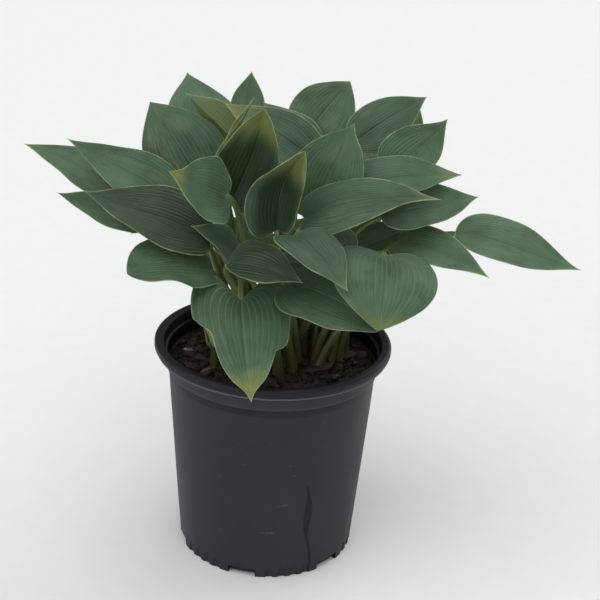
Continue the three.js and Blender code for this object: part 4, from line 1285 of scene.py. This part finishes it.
def set_camera(scene, stage):
    """Looks along +Y at the target, down by the pitch and turned about its line of sight."""
    lens = bpy.data.cameras.new("camera")
    lens.lens, lens.sensor_width = stage.lens, 36.0
    lens.clip_start, lens.clip_end = 0.05, 50.0
    camera = bpy.data.objects.new("camera", lens)
    ahead = np.array([0, math.cos(stage.pitch), -math.sin(stage.pitch)])
    right = np.array([1.0, 0, 0])
    up = np.cross(right, ahead)
    rolled = (right * math.cos(stage.roll) + up * math.sin(stage.roll),
              up * math.cos(stage.roll) - right * math.sin(stage.roll))
    matrix = np.eye(4)
    matrix[:3, :3] = np.column_stack([*rolled, -ahead])
    matrix[:3, 3] = np.array(stage.target) - ahead * stage.distance
    camera.matrix_world = Matrix(matrix.tolist())
    scene.collection.objects.link(camera)
    scene.camera = camera


class HostaBuildStage(bpy.types.Operator):
    """Lay the paper floor, set soft light and place the camera"""

    bl_idname = "hosta.build_stage"
    bl_label = "Build Stage"

    def execute(self, context):
        scene, stage = context.scene, context.scene.hosta_stage
        corners = np.array([[-1, -1], [1, -1], [1, 1], [-1, 1]]) * PAPER
        floor = Surface(np.column_stack([corners, np.zeros(4)]), [[0, 1, 2, 3]])
        add_piece("floor", floor, [found("floor", floor_paper, stage)])
        set_lights(scene, stage)
        set_camera(scene, stage)
        scene.view_settings.view_transform = "Standard"
        return {"FINISHED"}


class HostaPanel(bpy.types.Panel):
    """Lists the settings and the build steps"""

    bl_idname = "VIEW3D_PT_hosta"
    bl_label = "Hosta"
    bl_space_type = "VIEW_3D"
    bl_region_type = "UI"
    bl_category = "Hosta"

    def draw(self, context):
        column = self.layout.column()
        for step in STEPS:
            column.operator(step.bl_idname)
        for group in (context.scene.hosta_leaf, context.scene.hosta_pot,
                      context.scene.hosta_mix, context.scene.hosta_stage):
            box = self.layout.box()
            for key in group.bl_rna.properties.keys():
                if key not in ("rna_type", "name"):
                    box.prop(group, key)


STEPS = (
    HostaBuildStage, HostaBuildPot, HostaBuildMix, HostaFrontLeaves, HostaLeftLeaves,
    HostaUpperLeaves, HostaMiddleLeaves, HostaInnerLeaves, HostaRightLeaves, HostaBackLeaves,
    HostaFurledLeaf, HostaYoungLeaf,
)
GROUPS = {
    "hosta_leaf": HostaLeafLooks, "hosta_pot": HostaPotLooks, "hosta_mix": HostaMixLooks,
    "hosta_stage": HostaStage,
}


def register():
    """Registers the settings, then the operators and the panel that use them."""
    for group in GROUPS.values():
        bpy.utils.register_class(group)
    for name, group in GROUPS.items():
        setattr(bpy.types.Scene, name, PointerProperty(type=group))
    for kind in (*STEPS, HostaPanel):
        bpy.utils.register_class(kind)


def unregister():
    """Takes away again what register adds, the last first."""
    for kind in (HostaPanel, *reversed(STEPS)):
        bpy.utils.unregister_class(kind)
    for name, group in GROUPS.items():
        delattr(bpy.types.Scene, name)
        bpy.utils.unregister_class(group)


def main():
    """Builds every piece in order."""
    register()
    for step in STEPS:
        family, action = step.bl_idname.split(".")
        getattr(getattr(bpy.ops, family), action)()


if __name__ == "__main__":
    main()
